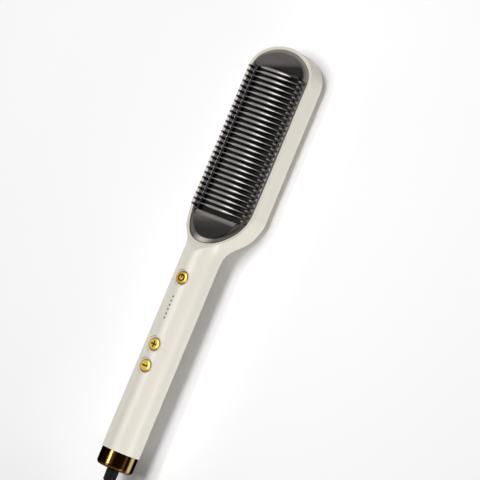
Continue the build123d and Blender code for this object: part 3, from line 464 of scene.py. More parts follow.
class BRUSH_OT_cord(BrushOperator):
    """Lays the cord from the boot to the floor and folds its spare length into a tied hank"""

    bl_idname = "brush.cord"
    bl_label = "Cord"

    reversals = (1.625, 3.125, 4.625)
    quarter = 0.25
    lap_points = 24
    lead_x = 0.022
    hank_from = -0.288
    plug_x = -0.025
    plug_height = 0.010

    def depth(self, turns):
        """How many steps in from the outermost loop: in, out, in and out again."""
        depth = 0
        start = 0
        direction = 1
        for reversal in (*self.reversals, cord().turns + 1):
            depth += direction * max(min(turns, reversal) - start, 0)
            start = reversal
            direction = -direction
        return depth

    def place(self, turns, centre):
        """A point of the hank: two runs drawn in at the waist and two folds in each turn."""
        size = cord()
        radius = size.fold_radius - size.step * self.depth(turns)
        height = size.floor_gap
        for reversal in self.reversals:
            climbed = min(max((turns - reversal) / self.quarter + 0.5, 0), 1)
            height += size.layer * (1 - cos(pi * climbed)) / 2
        half_lap = turns % 0.5
        side = 1 if turns % 1 < 0.5 else -1
        if half_lap < self.quarter:
            share = 1 - 2 * half_lap / self.quarter
            across = radius - size.draw * (1 + cos(pi * share)) / 2
            down = size.run * share
        else:
            swing = pi * (half_lap - self.quarter) / self.quarter
            across = radius * cos(swing)
            down = -size.run - radius * sin(swing)
        return (centre[0] + side * across, centre[1] + side * down, height)

    def make(self, context):
        size = cord()
        low = size.floor_gap
        route = [
            (0.0, -TIP_Y, AXIS_HEIGHT),
            (0.0, -0.186, AXIS_HEIGHT),
            (0.005, -0.210, 0.011),
            (0.014, -0.235, low),
            (self.lead_x, -0.260, low),
            (self.lead_x, -0.282, low),
        ]
        centre = (self.lead_x - size.fold_radius, self.hank_from - size.run)
        count = round(size.turns * self.lap_points)
        route += [self.place(step / self.lap_points, centre) for step in range(count + 1)]
        end = route[-1]
        route += [
            (end[0], end[1] + 0.021, end[2]),
            (end[0] + 0.002, end[1] + 0.041, 0.0155),
            (self.plug_x, end[1] + 0.060, self.plug_height),
            (self.plug_x, -0.212, self.plug_height),
        ]

        curve = bpy.data.curves.new("mains_cord", "CURVE")
        curve.dimensions = "3D"
        spline = curve.splines.new("NURBS")
        spline.points.add(len(route) - 1)
        for point, place in zip(spline.points, route):
            point.co = (*place, 1)
        spline.order_u = 3
        spline.use_endpoint_u = True
        spline.resolution_u = 4
        curve.bevel_depth = size.diameter / 2
        curve.bevel_resolution = 4
        curve.use_fill_caps = True
        piece = bpy.data.objects.new("mains_cord", curve)
        context.scene.collection.objects.link(piece)

        finish = satin("cord sheath", colours().cord, 0.42, 1500, 0.00002, specular_ior_level=0.35)
        dress_piece(piece, finish)
        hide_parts("power_cord", "cord_hank", "plug_lead")
        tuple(route[0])


class BRUSH_OT_shell(BrushOperator):
    """Finishes the cream housing and its back cover"""

    bl_idname = "brush.shell"
    bl_label = "Housing"

    def make(self, context):
        finish = satin("cream shell", colours().shell, 0.36, 1100, 0.000012, 0.02, specular_ior_level=0.45)
        dress(finish, "shell_cream", "front_housing", "back_cover")


class BRUSH_OT_bezel(BrushOperator):
    """Finishes the grey comb frame, with painted shade and painted highlights on its crescents, wall and
    ring
    """

    bl_idname = "brush.bezel"
    bl_label = "Comb frame"

    # How much further from the tip the bounds of the painted light and shade on the crescents come on the
    # left, for each metre across.
    slant = 0.28
    # Places in metres, from the head's tip or the brush's middle. Ramps along the head run over the reach.
    reach = 0.15
    edge_half = 0.0165
    tip_edge_half = 0.0172
    top_end_to = 0.0184
    low_end_from = 0.1195
    rim_from = 0.0203
    # The low end's outline: a flank on each side and a nose.
    flank_aside = 0.0105
    flank_at = 0.111
    flank_radius = 0.036
    low_nose_at = 0.121
    low_nose_radius = 0.0215
    # The tip's outline: a nose with a corner on each side.
    nose_radius = 0.031
    corner_radius = 0.017
    corner_aside = 0.0085
    corner_rise = 0.01112
    # How far inside the outline the wall ends and the painted shade of the groove runs. The ring narrows
    # towards its sides.
    inset_reach = 0.01
    wall_to = 0.0059
    groove_at = 0.0061
    groove_half = 0.0005
    narrowing = 6.0

    # A painted highlight colour for the crescents' straight edges.
    painted_edge_highlight = (0.30, 0.28, 0.26)
    # The ring's tones at the low end and at the tip, lighter at the tip as painted light, and a painted
    # highlight at the low end's apex.
    ring_low = (0.115, 0.103, 0.095)
    ring_top = (0.20, 0.18, 0.165)
    painted_apex_highlight = (0.56, 0.51, 0.48)

    def make(self, context):
        finish = Finish("bezel grey", colours().bezel, 0.34, specular_ior_level=0.1)
        x, y = finish.axes()[:2]
        from_tip = TIP_Y - y
        along = from_tip / self.reach
        aside = x.size()
        low_end = from_tip > self.low_end_from
        top_end = from_tip < self.top_end_to
        low_inset = self.low_inset(x, y)
        cloud = finish.noise(30.0, 3.0)
        fine = finish.noise(1000.0, 2.0)

        # Painted light and shade on the crescents: lighter at the tip, near black by the tip's straight
        # edge, and at the low end light by its straight edge and darker beyond.
        panel_shade_ramp = finish.ramp(
            (from_tip + x * self.slant) / self.reach,
            (0.0, 1.0), (0.084, 0.85), (0.106, 0.03), (0.79, 0.03), (0.80, 1.0), (0.835, 0.3), (0.87, 0.12))
        panel = finish.mix((panel_shade_ramp + cloud * 0.06).least(1.0), finish.shaded(0.05), finish.shaded(1.65))
        # Painted highlights along both crescents' straight edges.
        edge = finish.ramp(along, (0.799, 0.0), (0.801, 1.0), (0.808, 0.8), (0.825, 0.0))
        tip_edge_highlight = finish.ramp(along, (0.112, 0.0), (0.118, 0.3), (0.1225, 0.3), (0.124, 0.0))
        edges = (edge * (aside < self.edge_half)).most(tip_edge_highlight * (aside < self.tip_edge_half))
        lit = finish.mix(edges, panel, self.painted_edge_highlight)

        # Painted light on the low end's wall, lightening it.
        wall = (low_inset < self.wall_to) * low_end
        wall_lightened = finish.mix(wall * 0.6, lit, finish.shaded(1.6))

        # The ring, with a painted highlight in the middle of the low end's apex.
        middle = 1 - finish.ramp(aside / self.inset_reach, (0.1, 0.0), (0.8, 1.0))
        apex = finish.ramp(along, (0.865, 0.0), (0.912, 1.0)) * middle
        ring = finish.mix(apex, finish.mix(top_end, self.ring_low, self.ring_top), self.painted_apex_highlight)
        narrowed = low_inset + x * x * self.narrowing
        band = 1 - finish.ramp(narrowed / self.inset_reach, (0.57, 0.0), (0.61, 1.0))
        top_band = 1 - finish.ramp(self.top_inset(x, y) / self.inset_reach, (0.46, 0.0), (0.52, 1.0))
        rim = (aside > self.rim_from) * (from_tip > self.top_end_to)
        ringed = finish.mix((band * low_end).most(top_band * top_end).most(rim), wall_lightened, ring)

        # Painted shade in the groove between the crescent and the ring, and along the ring's outside edge.
        from_groove = (narrowed - self.groove_at).size() / self.groove_half
        groove = finish.ramp(from_groove, (0.3, 1.0), (1.0, 0.0))
        groove_shaded = finish.mix(groove * low_end * 0.5, ringed, finish.shaded(0.2))
        outer = 1 - finish.ramp(low_inset / self.inset_reach, (0.24, 0.0), (0.32, 1.0))
        finish.set("Base Color", finish.mix(outer * low_end * 0.75, groove_shaded, finish.shaded(0.3)))
        finish.set("Roughness", cloud * 0.1 + fine * 0.05 + 0.27)
        finish.bump(fine, 0.00001)
        dress(finish, "frame_grey", "comb_frame")

    def low_inset(self, x, y):
        """How far inside the head's outline a point of its low end is."""
        across = x.size() + self.flank_aside
        from_flank = y - (TIP_Y - self.flank_at)
        from_nose = y - (TIP_Y - self.low_nose_at)
        flank = self.flank_radius - (across * across + from_flank * from_flank) ** 0.5
        nose = self.low_nose_radius - (x * x + from_nose * from_nose) ** 0.5
        in_nose = (from_flank * self.flank_aside + across * (self.low_nose_at - self.flank_at)) < 0
        return nose * in_nose + flank * (1 - in_nose)

    def top_inset(self, x, y):
        """How far inside the head's outline a point of its tip is."""
        from_nose = y - (TIP_Y - self.nose_radius)
        from_corner = y - (TIP_Y - self.nose_radius + self.corner_rise)
        aside = x.size() - self.corner_aside
        nose = self.nose_radius - (x * x + from_nose * from_nose) ** 0.5
        corner = self.corner_radius - (aside * aside + from_corner * from_corner) ** 0.5
        in_corner = (x.size() * self.corner_rise) > (from_nose * self.corner_aside)
        return corner * in_corner + nose * (1 - in_corner)


class BRUSH_OT_teeth(BrushOperator):
    """Stands the two rows of cool outer teeth on their bars"""

    bl_idname = "brush.teeth"
    bl_label = "Outer teeth"

    # Drops are below the handle's axis, and the bar's is below the teeth's feet.
    foot_drop = 0.0013
    foot_radius = 0.00115
    tip_radius = 0.0007
    tip_round = 0.00055
    bar_wide = 0.0024
    bar_tall = 0.00144
    bar_drop = 0.00073
    bar_seen_drop = 0.00125
    near_tip = 0.0001

    def make(self, context):
        size = comb()
        finish = self.moulding()
        foot = AXIS_HEIGHT - self.foot_drop
        top = AXIS_HEIGHT + size.tooth_top
        first = TIP_Y - size.first + size.pitch / 2
        for side, name in ((-1, "guard_teeth_left"), (1, "guard_teeth_right")):
            low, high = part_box(name)
            across = side * size.tooth_row
            tooth = begin(
                "cone", "tooth", vertices=20, radius1=self.foot_radius, radius2=self.tip_radius,
                depth=top - foot, location=(across, first, (top + foot) / 2), end_fill_type="NGON")
            pick("EDGE", lambda edge: all(vertex.co.z > top - self.near_tip for vertex in edge.verts))
            bpy.ops.mesh.bevel(offset=self.tip_round, segments=5, profile=0.5)
            finished(tooth, smooth=60)
            teeth = copies(tooth, [Vector((0, -step * size.pitch, 0)) for step in range(1, size.fins + 1)])
            bar = begin(
                "cube", "tooth_bar", size=1, location=(across, (low.y + high.y) / 2, foot - self.bar_drop),
                scale=(self.bar_wide, high.y - low.y, self.bar_tall))
            soften(0.0002, 2)
            finished(bar)
            row = joined(name.replace("guard", "outer"), [bar, *teeth])
            dress_piece(row, finish)
            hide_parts(name)

    def moulding(self):
        """Glossy teeth, lighter towards their tips as a painted highlight, on bars of the frame's grey."""
        finish = satin(
            "tooth black", (0.03, 0.026, 0.024), 0.3, 1200, 0.000006, coat_weight=0.6, coat_roughness=0.15)
        z = finish.axes()[2]
        # Painted highlight: each tooth lightens towards its tip.
        tip_highlight = finish.ramp((z - AXIS_HEIGHT) / comb().tooth_top, (0.5, 0.0), (0.95, 1.0))
        tooth = finish.mix(tip_highlight, finish.shaded(0.5), finish.shaded(3.0))
        bar = z < AXIS_HEIGHT - self.bar_seen_drop
        finish.set("Base Color", finish.mix(bar, tooth, colours().bezel))
        return finish


class BRUSH_OT_comb(BrushOperator):
    """Casts the heated comb: a plate and its fins, thicker in the middle and arched across"""

    bl_idname = "brush.comb"
    bl_label = "Heated comb"

    # The narrow fin at the tip's crescent: half its width, its place from the tip and its foot's height.
    end_half = 0.0128
    end_at = 0.0186
    end_foot = 0.0033
    # Every fin: the rounding of its ends, its mesh, and where it stands on the frame's ledge and the plate.
    end_round = 0.0007
    columns = 32
    rows = 8
    ledge_drop = 0.0009
    sunk = 0.0003
    plate_drop = 0.0045
    plate_lift = 0.0018
    plate_thick = 0.0024
    # How far the finish's ramps run: down a gap into the painted shade, down the polish on the crest, and
    # across from the middle for the painted highlight.
    gap_reach = 0.004
    polish_reach = 0.001
    bright_reach = 0.02

    def make(self, context):
        size = comb()
        low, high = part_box("heating_comb")
        plate_top = AXIS_HEIGHT - self.plate_drop

        def foot(place):
            over_ledge = abs(place.x) > size.half - size.overhang
            height = AXIS_HEIGHT - self.ledge_drop if over_ledge else plate_top - self.sunk
            return Vector((place.x, place.y, height))

        def crescent_foot(place):
            return Vector((place.x, place.y, AXIS_HEIGHT + self.end_foot))

        fin = self.cast("fin", size.half, foot)
        fins = copies(fin, [Vector((0, -step * size.pitch, 0)) for step in range(1, size.fins)])
        end_fin = self.cast("end_fin", self.end_half, crescent_foot)
        end_fin.data.transform(Matrix.Translation((0, size.first - self.end_at, 0)))
        plate_height = (low.z + plate_top) / 2 + self.plate_lift
        plate = begin(
            "cube", "plate", size=1, location=(0, (low.y + high.y) / 2, plate_height),
            scale=(high.x - low.x, high.y - low.y, self.plate_thick))
        soften(0.0006, 3)
        finished(plate)
        piece = joined("comb_fins", [plate, end_fin, *fins])
        dress_piece(piece, self.coating())
        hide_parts("heating_comb")

    def arch(self):
        """Radius of the fins' arch across the comb."""
        size = comb()
        rise = size.crest - size.end_crest
        return (size.half ** 2 + rise ** 2) / (2 * rise)

    def cast(self, name, half, foot):
        """A fin at the first place, its crest arched and rounded, and its foot where foot puts it."""
        size = comb()
        first = TIP_Y - size.first
        arch = self.arch()

        def crest(place):
            across = half * sin(pi / 2 * max(-1, min(1, place.x)))
            lean = sin(pi / 2 * max(-1, min(1, place.y - first)))
            share = min(1, (across / size.lens) ** 4)
            thick = size.thick + (size.thin - size.thick) * share
            height = AXIS_HEIGHT + size.crest - (arch - sqrt(arch ** 2 - across ** 2))
            height -= thick / 2 * (1 - sqrt(max(0, 1 - lean ** 2)))
            near_end = max(0, abs(across) - (half - self.end_round)) / self.end_round
            height -= self.end_round * (1 - sqrt(max(0, 1 - near_end ** 2)))
            return Vector((across, first + lean * thick / 2, height))

        fin = begin(
            "grid", name, x_subdivisions=self.columns, y_subdivisions=self.rows, size=2,
            location=(0, first, 0))
        shape(crest)
        pick("EDGE", lambda edge: edge.is_boundary)
        bpy.ops.mesh.extrude_region_move()
        shape(foot, chosen=True)
        bpy.ops.mesh.edge_face_add()
        face_outwards()
        return finished(fin, smooth=50)

    def coating(self):
        """Glossy along the crests, matt down in the gaps, with painted shade darkening the gaps and a
        painted highlight on the crests' polish towards the middle.
        """
        finish = Finish("comb coating", colours().comb, 0.4, specular_ior_level=0.3, coat_roughness=0.2)
        x, _, z = finish.axes()
        below_crest = AXIS_HEIGHT + comb().crest - x * x / (2 * self.arch()) - z
        crest = 1 - finish.ramp(below_crest / self.gap_reach, (0.15, 0.0), (0.6, 1.0))
        cloud = finish.noise(60.0, 3.0)
        fine = finish.noise(1300.0, 2.0)
        polish = 1 - finish.ramp(below_crest / self.polish_reach, (0.25, 0.0), (0.8, 1.0))
        # Painted shade: the coating is darker down in the gaps.
        gap_shaded_coat = finish.mix(crest, finish.shaded(0.3), finish.shaded(1.2))
        # Painted highlight: the polish is lighter near the middle and darker towards the fins' ends.
        bright = 1 - finish.ramp(x.size() / self.bright_reach, (0.35, 0.0), (0.62, 1.0))
        polish_with_painted_highlight = finish.mix(bright, (0.10, 0.093, 0.088), (0.25, 0.235, 0.225))
        finish.set("Base Color", finish.mix(polish, gap_shaded_coat, polish_with_painted_highlight))
        finish.set("Metallic", polish)
        finish.set("Roughness", 0.62 - crest * 0.36 + fine * 0.08)
        finish.set("Coat Weight", crest * (cloud * 0.2 + 0.6))
        finish.bump(fine, 0.000001)
        return finish


class BRUSH_OT_keys(BrushOperator):
    """Finishes the three gilt keys with their dark signs, and the lamp windows"""

    bl_idname = "brush.keys"
    bl_label = "Keys and lamps"

    # Each key's sign and how far the key is from the head's tip.
    places = (("power", 0.1662), ("plus", 0.2128), ("minus", 0.2278))
    power_to = 0.18
    key_reach = 0.005
    stroke = 0.00112
    sign_half = 0.00215
    ring_radius = 0.0021
    power_gold = (0.4, 0.23, 0.05)
    edge_brown = (0.2, 0.105, 0.02)
    sign_brown = (0.09, 0.045, 0.01)

    def make(self, context):
        finish = Finish("gilt keys", colours().gilt, 0.3, metallic=1.0)
        x, y = finish.axes()[:2]
        cloud = finish.noise(60.0, 2.0)
        gold = finish.mix(cloud, finish.shaded(0.92), finish.shaded(1.08))
        tone = finish.mix(((TIP_Y - y) < self.power_to) * 0.45, gold, self.power_gold)
        for kind, place in self.places:
            along = y - (TIP_Y - place)
            away = (x * x + along * along) ** 0.5
            edge = finish.ramp(away / self.key_reach, (0.60, 0.0), (0.78, 1.0), (0.9, 1.0), (0.95, 0.0))
            rimmed = finish.mix(edge * 0.6, tone, self.edge_brown)
            tone = finish.mix(self.sign(kind, x.size(), along, away), rimmed, self.sign_brown)
        finish.set("Base Color", tone)
        finish.set("Roughness", cloud * 0.08 + 0.28)
        dress(finish, "gilt", "power_button", "plus_button", "minus_button")
        lamps = satin("lamp windows", (0.10, 0.086, 0.066), 0.3, 1200, 0.00001)
        dress(lamps, "lamp_grey", "light_guide")

    def sign(self, kind, aside, along, away):
        """The dark filling of an engraved sign, a little wider than its groove."""
        half = self.stroke / 2
        bar = (along.size() < half) * (aside < self.sign_half)
        if kind == "minus":
            return bar
        if kind == "plus":
            return bar.most((aside < half) * (along.size() < self.sign_half))
        ring = (away - self.ring_radius).size() < half
        stem = (aside < half) * (along < self.ring_radius + half) * (along > 0)
        return ring.most(stem)


class BRUSH_OT_tail(BrushOperator):
    """Finishes the gilt tail cap with painted reflection streaks round it, and the black boot"""

    bl_idname = "brush.tail"
    bl_label = "Tail"

    # Painted reflections: each streak's place round the cap and half its width, in radians, and its colour.
    dim = (0.38, 0.26, 0.085)
    bright = (0.62, 0.47, 0.2)
    streaks = (
        (0.145, 0.12, dim),
        (1.455, 0.19, bright),
        (2.7, 0.2, dim),
        (-1.3, 0.12, dim),
        (-2.4, 0.2, dim),
    )
    end_brown = (0.16, 0.085, 0.02)
    end_reach = 0.01

    def make(self, context):
        finish = Finish("tail gilt", colours().bronze, 0.16, metallic=1.0, specular_tint=(0.3, 0.2, 0.1, 1))
        x, y, z = finish.axes()
        turn = finish.node("ShaderNodeMath", {"operation": "ARCTAN2"}, {0: x, 1: z - AXIS_HEIGHT})
        brushed = finish.noise(260.0, 2.0, 0.6, (1, 0.03, 1))
        grain_and_reflections = finish.mix(brushed, finish.shaded(0.6), finish.shaded(1.3))
        # Painted reflection streaks over the brushed grain.
        for place, width, light in self.streaks:
            near = ((turn - place).size() / width).least(1.0)
            grain_and_reflections = finish.mix(1 - finish.ramp(near, (0.3, 0.0), (0.95, 1.0)), grain_and_reflections, light)
        from_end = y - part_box("tail_cap")[0].y
        end_face = 1 - finish.ramp(from_end / self.end_reach, (0.03, 0.0), (0.22, 1.0))
        finish.set("Base Color", finish.mix(end_face, grain_and_reflections, self.end_brown))
        finish.set("Roughness", brushed * 0.06 + 0.15)
        dress(finish, "gilt", "tail_cap")
        boot = satin("boot rubber", (0.005, 0.005, 0.0055), 0.4, 1400, 0.00001, specular_ior_level=0.06)
        dress(boot, "boot_black", "strain_relief")


class BRUSH_OT_plug(BrushOperator):
    """Moulds the plug with its ribbed sleeve and grips, and its two blades with their holes"""

    bl_idname = "brush.plug"
    bl_label = "Plug"

    # Distances are metres from the sleeve's end, where the cord goes in.
    sleeve = 0.0095
    shoulder = 0.0165
    sleeve_ribs = 4
    rib_depth = 0.0006
    grip_from = 0.018
    grip_to = 0.030
    grip_pitch = 0.0024
    grip_side = 0.8
    back_half = 0.005
    swollen = 2.6
    face_rim = 0.0016
    face_sunk = 0.0005
    blade_thick = 0.0015
    tip_squareness = 5
    hole_radius = 0.0016
    hole_from_tip = 0.0042

    def make(self, context):
        low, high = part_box("plug_body")
        middle = (low + high) / 2
        long = high.y - low.y
        shell = begin(
            "cylinder", "mains_plug", vertices=64, radius=1, depth=1, end_fill_type="NOTHING",
            location=(0, 0, 0), rotation=(-pi / 2, 0, 0))
        pick("EDGE", lambda edge: runs_along(edge, 1))
        bpy.ops.mesh.subdivide(number_cuts=84)

        def mould(place):
            distance = (place.y + 0.5) * long
            swell = min(max((distance - self.sleeve) / (self.shoulder - self.sleeve), 0), 1)
            swell = swell * swell * (3 - 2 * swell)
            wide = self.back_half + (high.x - middle.x - self.back_half) * swell
            tall = self.back_half + (high.z - middle.z - self.back_half) * swell
            turn = Vector((place.x, place.z)).normalized()
            stretch = squared(turn, 2 + self.swollen * swell)
            if distance < self.sleeve:
                ribs = (1 - cos(2 * pi * self.sleeve_ribs * distance / self.sleeve)) / 2
                stretch *= 1 - self.rib_depth * ribs / self.back_half
            if self.grip_from < distance < self.grip_to and abs(turn.x) > self.grip_side:
                groove = (1 - cos(2 * pi * (distance - self.grip_from) / self.grip_pitch)) / 2
                share = (abs(turn.x) - self.grip_side) / (1 - self.grip_side)
                stretch *= 1 - self.rib_depth * groove * share / wide
            across = turn.x * wide * stretch
            up = turn.y * tall * stretch
            return Vector((middle.x + across, low.y + distance, middle.z + up))

        shape(mould)
        for side in (low.y, high.y):
            pick("EDGE", lambda edge: edge.is_boundary and abs(edge.verts[0].co.y - side) < 0.0001)
            bpy.ops.mesh.edge_face_add()
        pick("FACE", lambda face: len(face.verts) > 4 and face.calc_center_median().y > middle.y)
        bpy.ops.mesh.inset(thickness=self.face_rim)
        bpy.ops.transform.translate(value=(0, -self.face_sunk, 0))
        face_outwards()
        finished(shell, self.bevel(0.0006, 3))
        dress_piece(shell, satin("plug vinyl", colours().cord, 0.44, 1300, 0.00002))
        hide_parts("plug_body")
        self.blades()

    def bevel(self, width, segments):
        """A modifier that rounds the sharper edges."""
        sharp = {"limit_method": "ANGLE", "angle_limit": radians(50)}
        return ("BEVEL", {"width": width, "segments": segments, **sharp})

    def blades(self):
        """Two flat blades, each with a hole near its rounded tip."""
        low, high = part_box("plug_blades")
        tall = (high.z - low.z) / 2
        middle = (low.z + high.z) / 2
        hole_y = high.y - self.hole_from_tip
        blade = begin(
            "circle", "blade", vertices=64, radius=self.hole_radius, location=(0, hole_y, middle),
            rotation=(0, pi / 2, 0))
        bpy.ops.mesh.select_all(action="SELECT")
        bpy.ops.mesh.extrude_edges_move()

        def outline(place):
            ray = Vector((place.y - hole_y, place.z - middle)).normalized()
            end = self.hole_from_tip if ray.x > 0 else hole_y - low.y
            reach = min(end / max(abs(ray.x), 0.001), tall / max(abs(ray.y), 0.001))
            if ray.x > 0:
                reach = squared(Vector((ray.x / end, ray.y / tall)), self.tip_squareness)
            return Vector((place.x, hole_y + ray.x * reach, middle + ray.y * reach))

        shape(outline, chosen=True)
        finished(blade, ("SOLIDIFY", {"thickness": self.blade_thick, "offset": 0.0}), self.bevel(0.0002, 2))
        blade.data.transform(Matrix.Translation((low.x + self.blade_thick / 2, 0, 0)))
        pair = copies(blade, [Vector((high.x - low.x - self.blade_thick, 0, 0))])
        blades = joined("plug_pins", pair)
        bpy.ops.object.mode_set(mode="EDIT")
        face_outwards()
        bpy.ops.object.mode_set(mode="OBJECT")
        dress_piece(blades, metal("blade nickel", (0.62, 0.6, 0.56), 0.28, (1, 0.08, 1)))
        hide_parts("plug_blades")


class BRUSH_OT_tie(BrushOperator):
    """Straps the hank with a cloth band whose end laps over its top"""

    bl_idname = "brush.tie"
    bl_label = "Tie"

    band = 0.0005
    squareness = 7
    lap_long = 0.019
    lap_thick = 0.0009
    lap_aside = 0.004
    lap_round = 0.0032
    lap_sunk = 0.0002
    lap_inset = 0.0002

    def make(self, context):
        low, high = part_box("cord_tie")
        middle = (low + high) / 2
        strap = begin(
            "cylinder", "hank_strap", vertices=96, radius=1, depth=high.y - low.y, end_fill_type="NOTHING",
            location=(0, middle.y, 0), rotation=(-pi / 2, 0, 0))
        pick("EDGE", lambda edge: runs_along(edge, 1))
        bpy.ops.mesh.subdivide(number_cuts=3)

        def round_hank(place):
            turn = Vector((place.x, place.z)).normalized()
            stretch = squared(turn, self.squareness)
            wide = (high.x - low.x) / 2
            tall = (high.z - low.z) / 2
            return Vector((middle.x + turn.x * wide * stretch, place.y, middle.z + turn.y * tall * stretch))

        shape(round_hank)
        face_outwards()
        finished(strap, ("SOLIDIFY", {"thickness": self.band, "offset": -1.0}), smooth=50)
        lap = begin(
            "cube", "strap_lap", size=1,
            location=(middle.x + self.lap_aside, middle.y, high.z + self.lap_thick / 2 - self.lap_sunk),
            scale=(self.lap_long, high.y - low.y - 2 * self.lap_inset, self.lap_thick))
        pick("EDGE", lambda edge: runs_along(edge, 2) and edge.verts[0].co.x > middle.x)
        bpy.ops.mesh.bevel(offset=self.lap_round, segments=6)
        soften(0.0002, 2)
        finished(lap)
        tie = joined("hank_tie", [strap, lap])
        cloth = satin("tie cloth", (0.022, 0.022, 0.024), 0.75, 2600, 0.00012, 0.12, specular_ior_level=0.2)
        dress_piece(tie, cloth)
        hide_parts("cord_tie")


class BRUSH_OT_inside(BrushOperator):
    """Finishes what the housing hides: heater, board, switches, leads and screws"""

    bl_idname = "brush.inside"
    bl_label = "Inside"

    def make(self, context):
        plastics = [
            ("tile ceramic", (0.62, 0.6, 0.56), 0.6, "ceramic", ["ptc_tiles"]),
            ("amber film", (0.42, 0.16, 0.02), 0.18, "film_amber", ["insulation_film"]),
            ("mica sheet", (0.36, 0.30, 0.22), 0.5, "mica", ["heat_shield"]),
            ("board laminate", (0.01, 0.09, 0.03), 0.35, "board_green", ["main_board"]),
            ("black moulding", (0.02, 0.02, 0.02), 0.45, "inner_black",
             ["key_switches", "power_parts", "swivel_socket", "thermistor", "indicator_lamps"]),
            ("white moulding", (0.7, 0.69, 0.66), 0.45, "inner_white",
             ["terminal_block", "power_plunger", "plus_plunger", "minus_plunger", "swivel_spindle"]),
            ("red sleeve", (0.35, 0.02, 0.015), 0.4, "wire_red", ["supply_leads", "heater_leads"]),
        ]
        metals = [
            ("copper strip", (0.72, 0.32, 0.16), 0.3, "copper",
             ["electrode_strips", "slip_rings", "brush_contacts"]),
            ("zinc steel", (0.5, 0.5, 0.5), 0.32, "steel",
             ["frame_screws", "cover_screws", "board_screws", "clamp_screws", "heater_clamp",
              "thermal_fuse"]),
        ]
        for made, rows in ((satin, plastics), (metal, metals)):
            for name, colour, roughness, slot, names in rows:
                dress(made(name, colour, roughness), slot, *names)


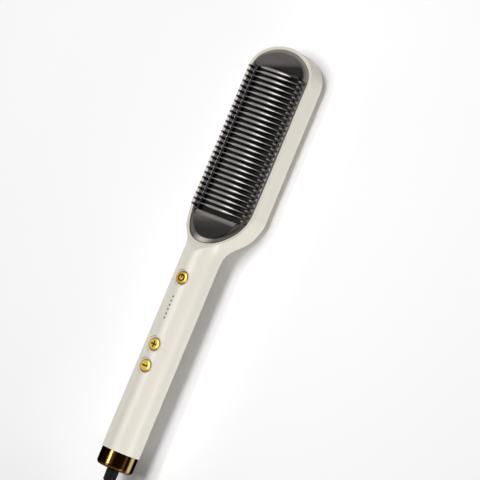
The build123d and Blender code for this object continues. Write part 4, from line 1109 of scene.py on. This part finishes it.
class BRUSH_OT_stage(BrushOperator):
    """Lays the pale floor and sets the lamps and the surroundings"""

    bl_idname = "brush.stage"
    bl_label = "Stage"

    # The floor's size and drop, and the middle and reach of the part of it that keeps the shadow, in metres.
    floor_size = 6
    floor_drop = 0.0001
    middle_y = -0.13
    reach = 1.0
    fill = 0.02
    aim = (0.0, 0.0, 0.02)
    # Each lamp's name, the way to it from the aim, how far it is, its width and length, and its power.
    lamps = (
        ("key_softbox", (0.035, 0.16, 0.98), 0.95, (0.24, 0.9), 6.5),
        ("left_softbox", (-0.25, 0.16, 0.95), 1.1, (0.16, 0.9), 4.2),
        ("right_softbox", (0.86, -0.5, 0.085), 1.3, (0.25, 1.2), 14.0),
        ("side_softbox", (-0.95, 0.0, 0.3), 1.3, (0.5, 1.2), 2.5),
    )

    def make(self, context):
        self.floor()
        self.surroundings(context.scene)
        for lamp in self.lamps:
            self.softbox(*lamp)
        context.scene.view_settings.view_transform = "Standard"

    def floor(self):
        """Pale paper that keeps the brush's shadow and turns plain white further away."""
        bpy.ops.mesh.primitive_plane_add(size=self.floor_size, location=(0, 0, -self.floor_drop))
        floor = bpy.context.object
        floor.name = "floor"
        paper = Finish("floor paper", (0.96, 0.96, 0.965), 0.95, specular_ior_level=0.0)
        x, y = paper.axes()[:2]
        along = y - self.middle_y
        far = (x * x + along * along) ** 0.5 / self.reach
        share = paper.ramp(far, (0.45, 0.02), (0.62, 0.25), (1.0, 1.0))
        glow = paper.node("ShaderNodeEmission", {}, {"Strength": 1.0})
        seen = Value(paper, self.seen_rays(paper.tree))
        lit = Value(paper, paper.shader.outputs[0])
        blend = paper.node("ShaderNodeMixShader", {}, {0: seen * share, 1: lit, 2: glow})
        paper.tree.links.new(blend.socket, paper.tree.nodes["Material Output"].inputs[0])
        floor.data.materials.append(paper.material)

    def surroundings(self, scene):
        """A white world that the camera and reflections see, and that adds only a little light."""
        world = scene.world or bpy.data.worlds.new("surroundings")
        scene.world = world
        world.use_nodes = True
        tree = world.node_tree
        dim = tree.nodes["Background"]
        dim.inputs["Color"].default_value = (1, 1, 1, 1)
        dim.inputs["Strength"].default_value = self.fill
        white = tree.nodes.new("ShaderNodeBackground")
        white.inputs["Strength"].default_value = 1.0
        blend = tree.nodes.new("ShaderNodeMixShader")
        tree.links.new(self.seen_rays(tree), blend.inputs[0])
        tree.links.new(dim.outputs[0], blend.inputs[1])
        tree.links.new(white.outputs[0], blend.inputs[2])
        tree.links.new(blend.outputs[0], tree.nodes["World Output"].inputs[0])

    def seen_rays(self, tree):
        """One where the camera, a reflection or glass looks, and nought where light is gathered."""
        path = tree.nodes.new("ShaderNodeLightPath")
        seen = path.outputs["Is Camera Ray"]
        for ray in ("Is Glossy Ray", "Is Transmission Ray"):
            most = tree.nodes.new("ShaderNodeMath")
            most.operation = "MAXIMUM"
            tree.links.new(seen, most.inputs[0])
            tree.links.new(path.outputs[ray], most.inputs[1])
            seen = most.outputs[0]
        return seen

    def softbox(self, name, direction, distance, size, power):
        """A rectangular lamp that faces the aim, its long side along the brush."""
        away = Vector(direction).normalized()
        bpy.ops.object.light_add(type="AREA", location=Vector(self.aim) + away * distance)
        lamp = bpy.context.object
        lamp.name = name
        lamp.data.shape = "RECTANGLE"
        lamp.data.size = size[0]
        lamp.data.size_y = size[1]
        lamp.data.energy = power
        side = Vector((0, 1, 0)).cross(away).normalized()
        lamp.rotation_euler = Matrix((side, away.cross(side), away)).transposed().to_euler()


class BRUSH_PT_panel(bpy.types.Panel):
    """Lists the steps that make the brush"""

    bl_idname = "BRUSH_PT_panel"
    bl_label = "Brush"
    bl_space_type = "VIEW_3D"
    bl_region_type = "UI"
    bl_category = "Brush"

    def draw(self, context):
        for step in steps:
            self.layout.operator(step.bl_idname)
        for group in (view(), cord(), comb(), colours()):
            box = self.layout.box()
            for name in group.bl_rna.properties.keys():
                if name not in ("rna_type", "name"):
                    box.prop(group, name)


steps = [
    BRUSH_OT_camera,
    BRUSH_OT_plug,
    BRUSH_OT_tie,
    BRUSH_OT_cord,
    BRUSH_OT_shell,
    BRUSH_OT_bezel,
    BRUSH_OT_teeth,
    BRUSH_OT_comb,
    BRUSH_OT_keys,
    BRUSH_OT_tail,
    BRUSH_OT_inside,
    BRUSH_OT_stage,
]
groups = {
    "brush_view": BrushView,
    "brush_cord": BrushCord,
    "brush_comb": BrushComb,
    "brush_colours": BrushColours,
}
kinds = [*groups.values(), *steps, BRUSH_PT_panel]


def register():
    for kind in kinds:
        bpy.utils.register_class(kind)
    for name, group in groups.items():
        setattr(bpy.types.Scene, name, PointerProperty(type=group))


def unregister():
    for name in groups:
        delattr(bpy.types.Scene, name)
    for kind in reversed(kinds):
        bpy.utils.unregister_class(kind)


def main():
    register()
    for step in steps:
        family, name = step.bl_idname.split(".")
        getattr(getattr(bpy.ops, family), name)()


if __name__ == "__main__":
    main()
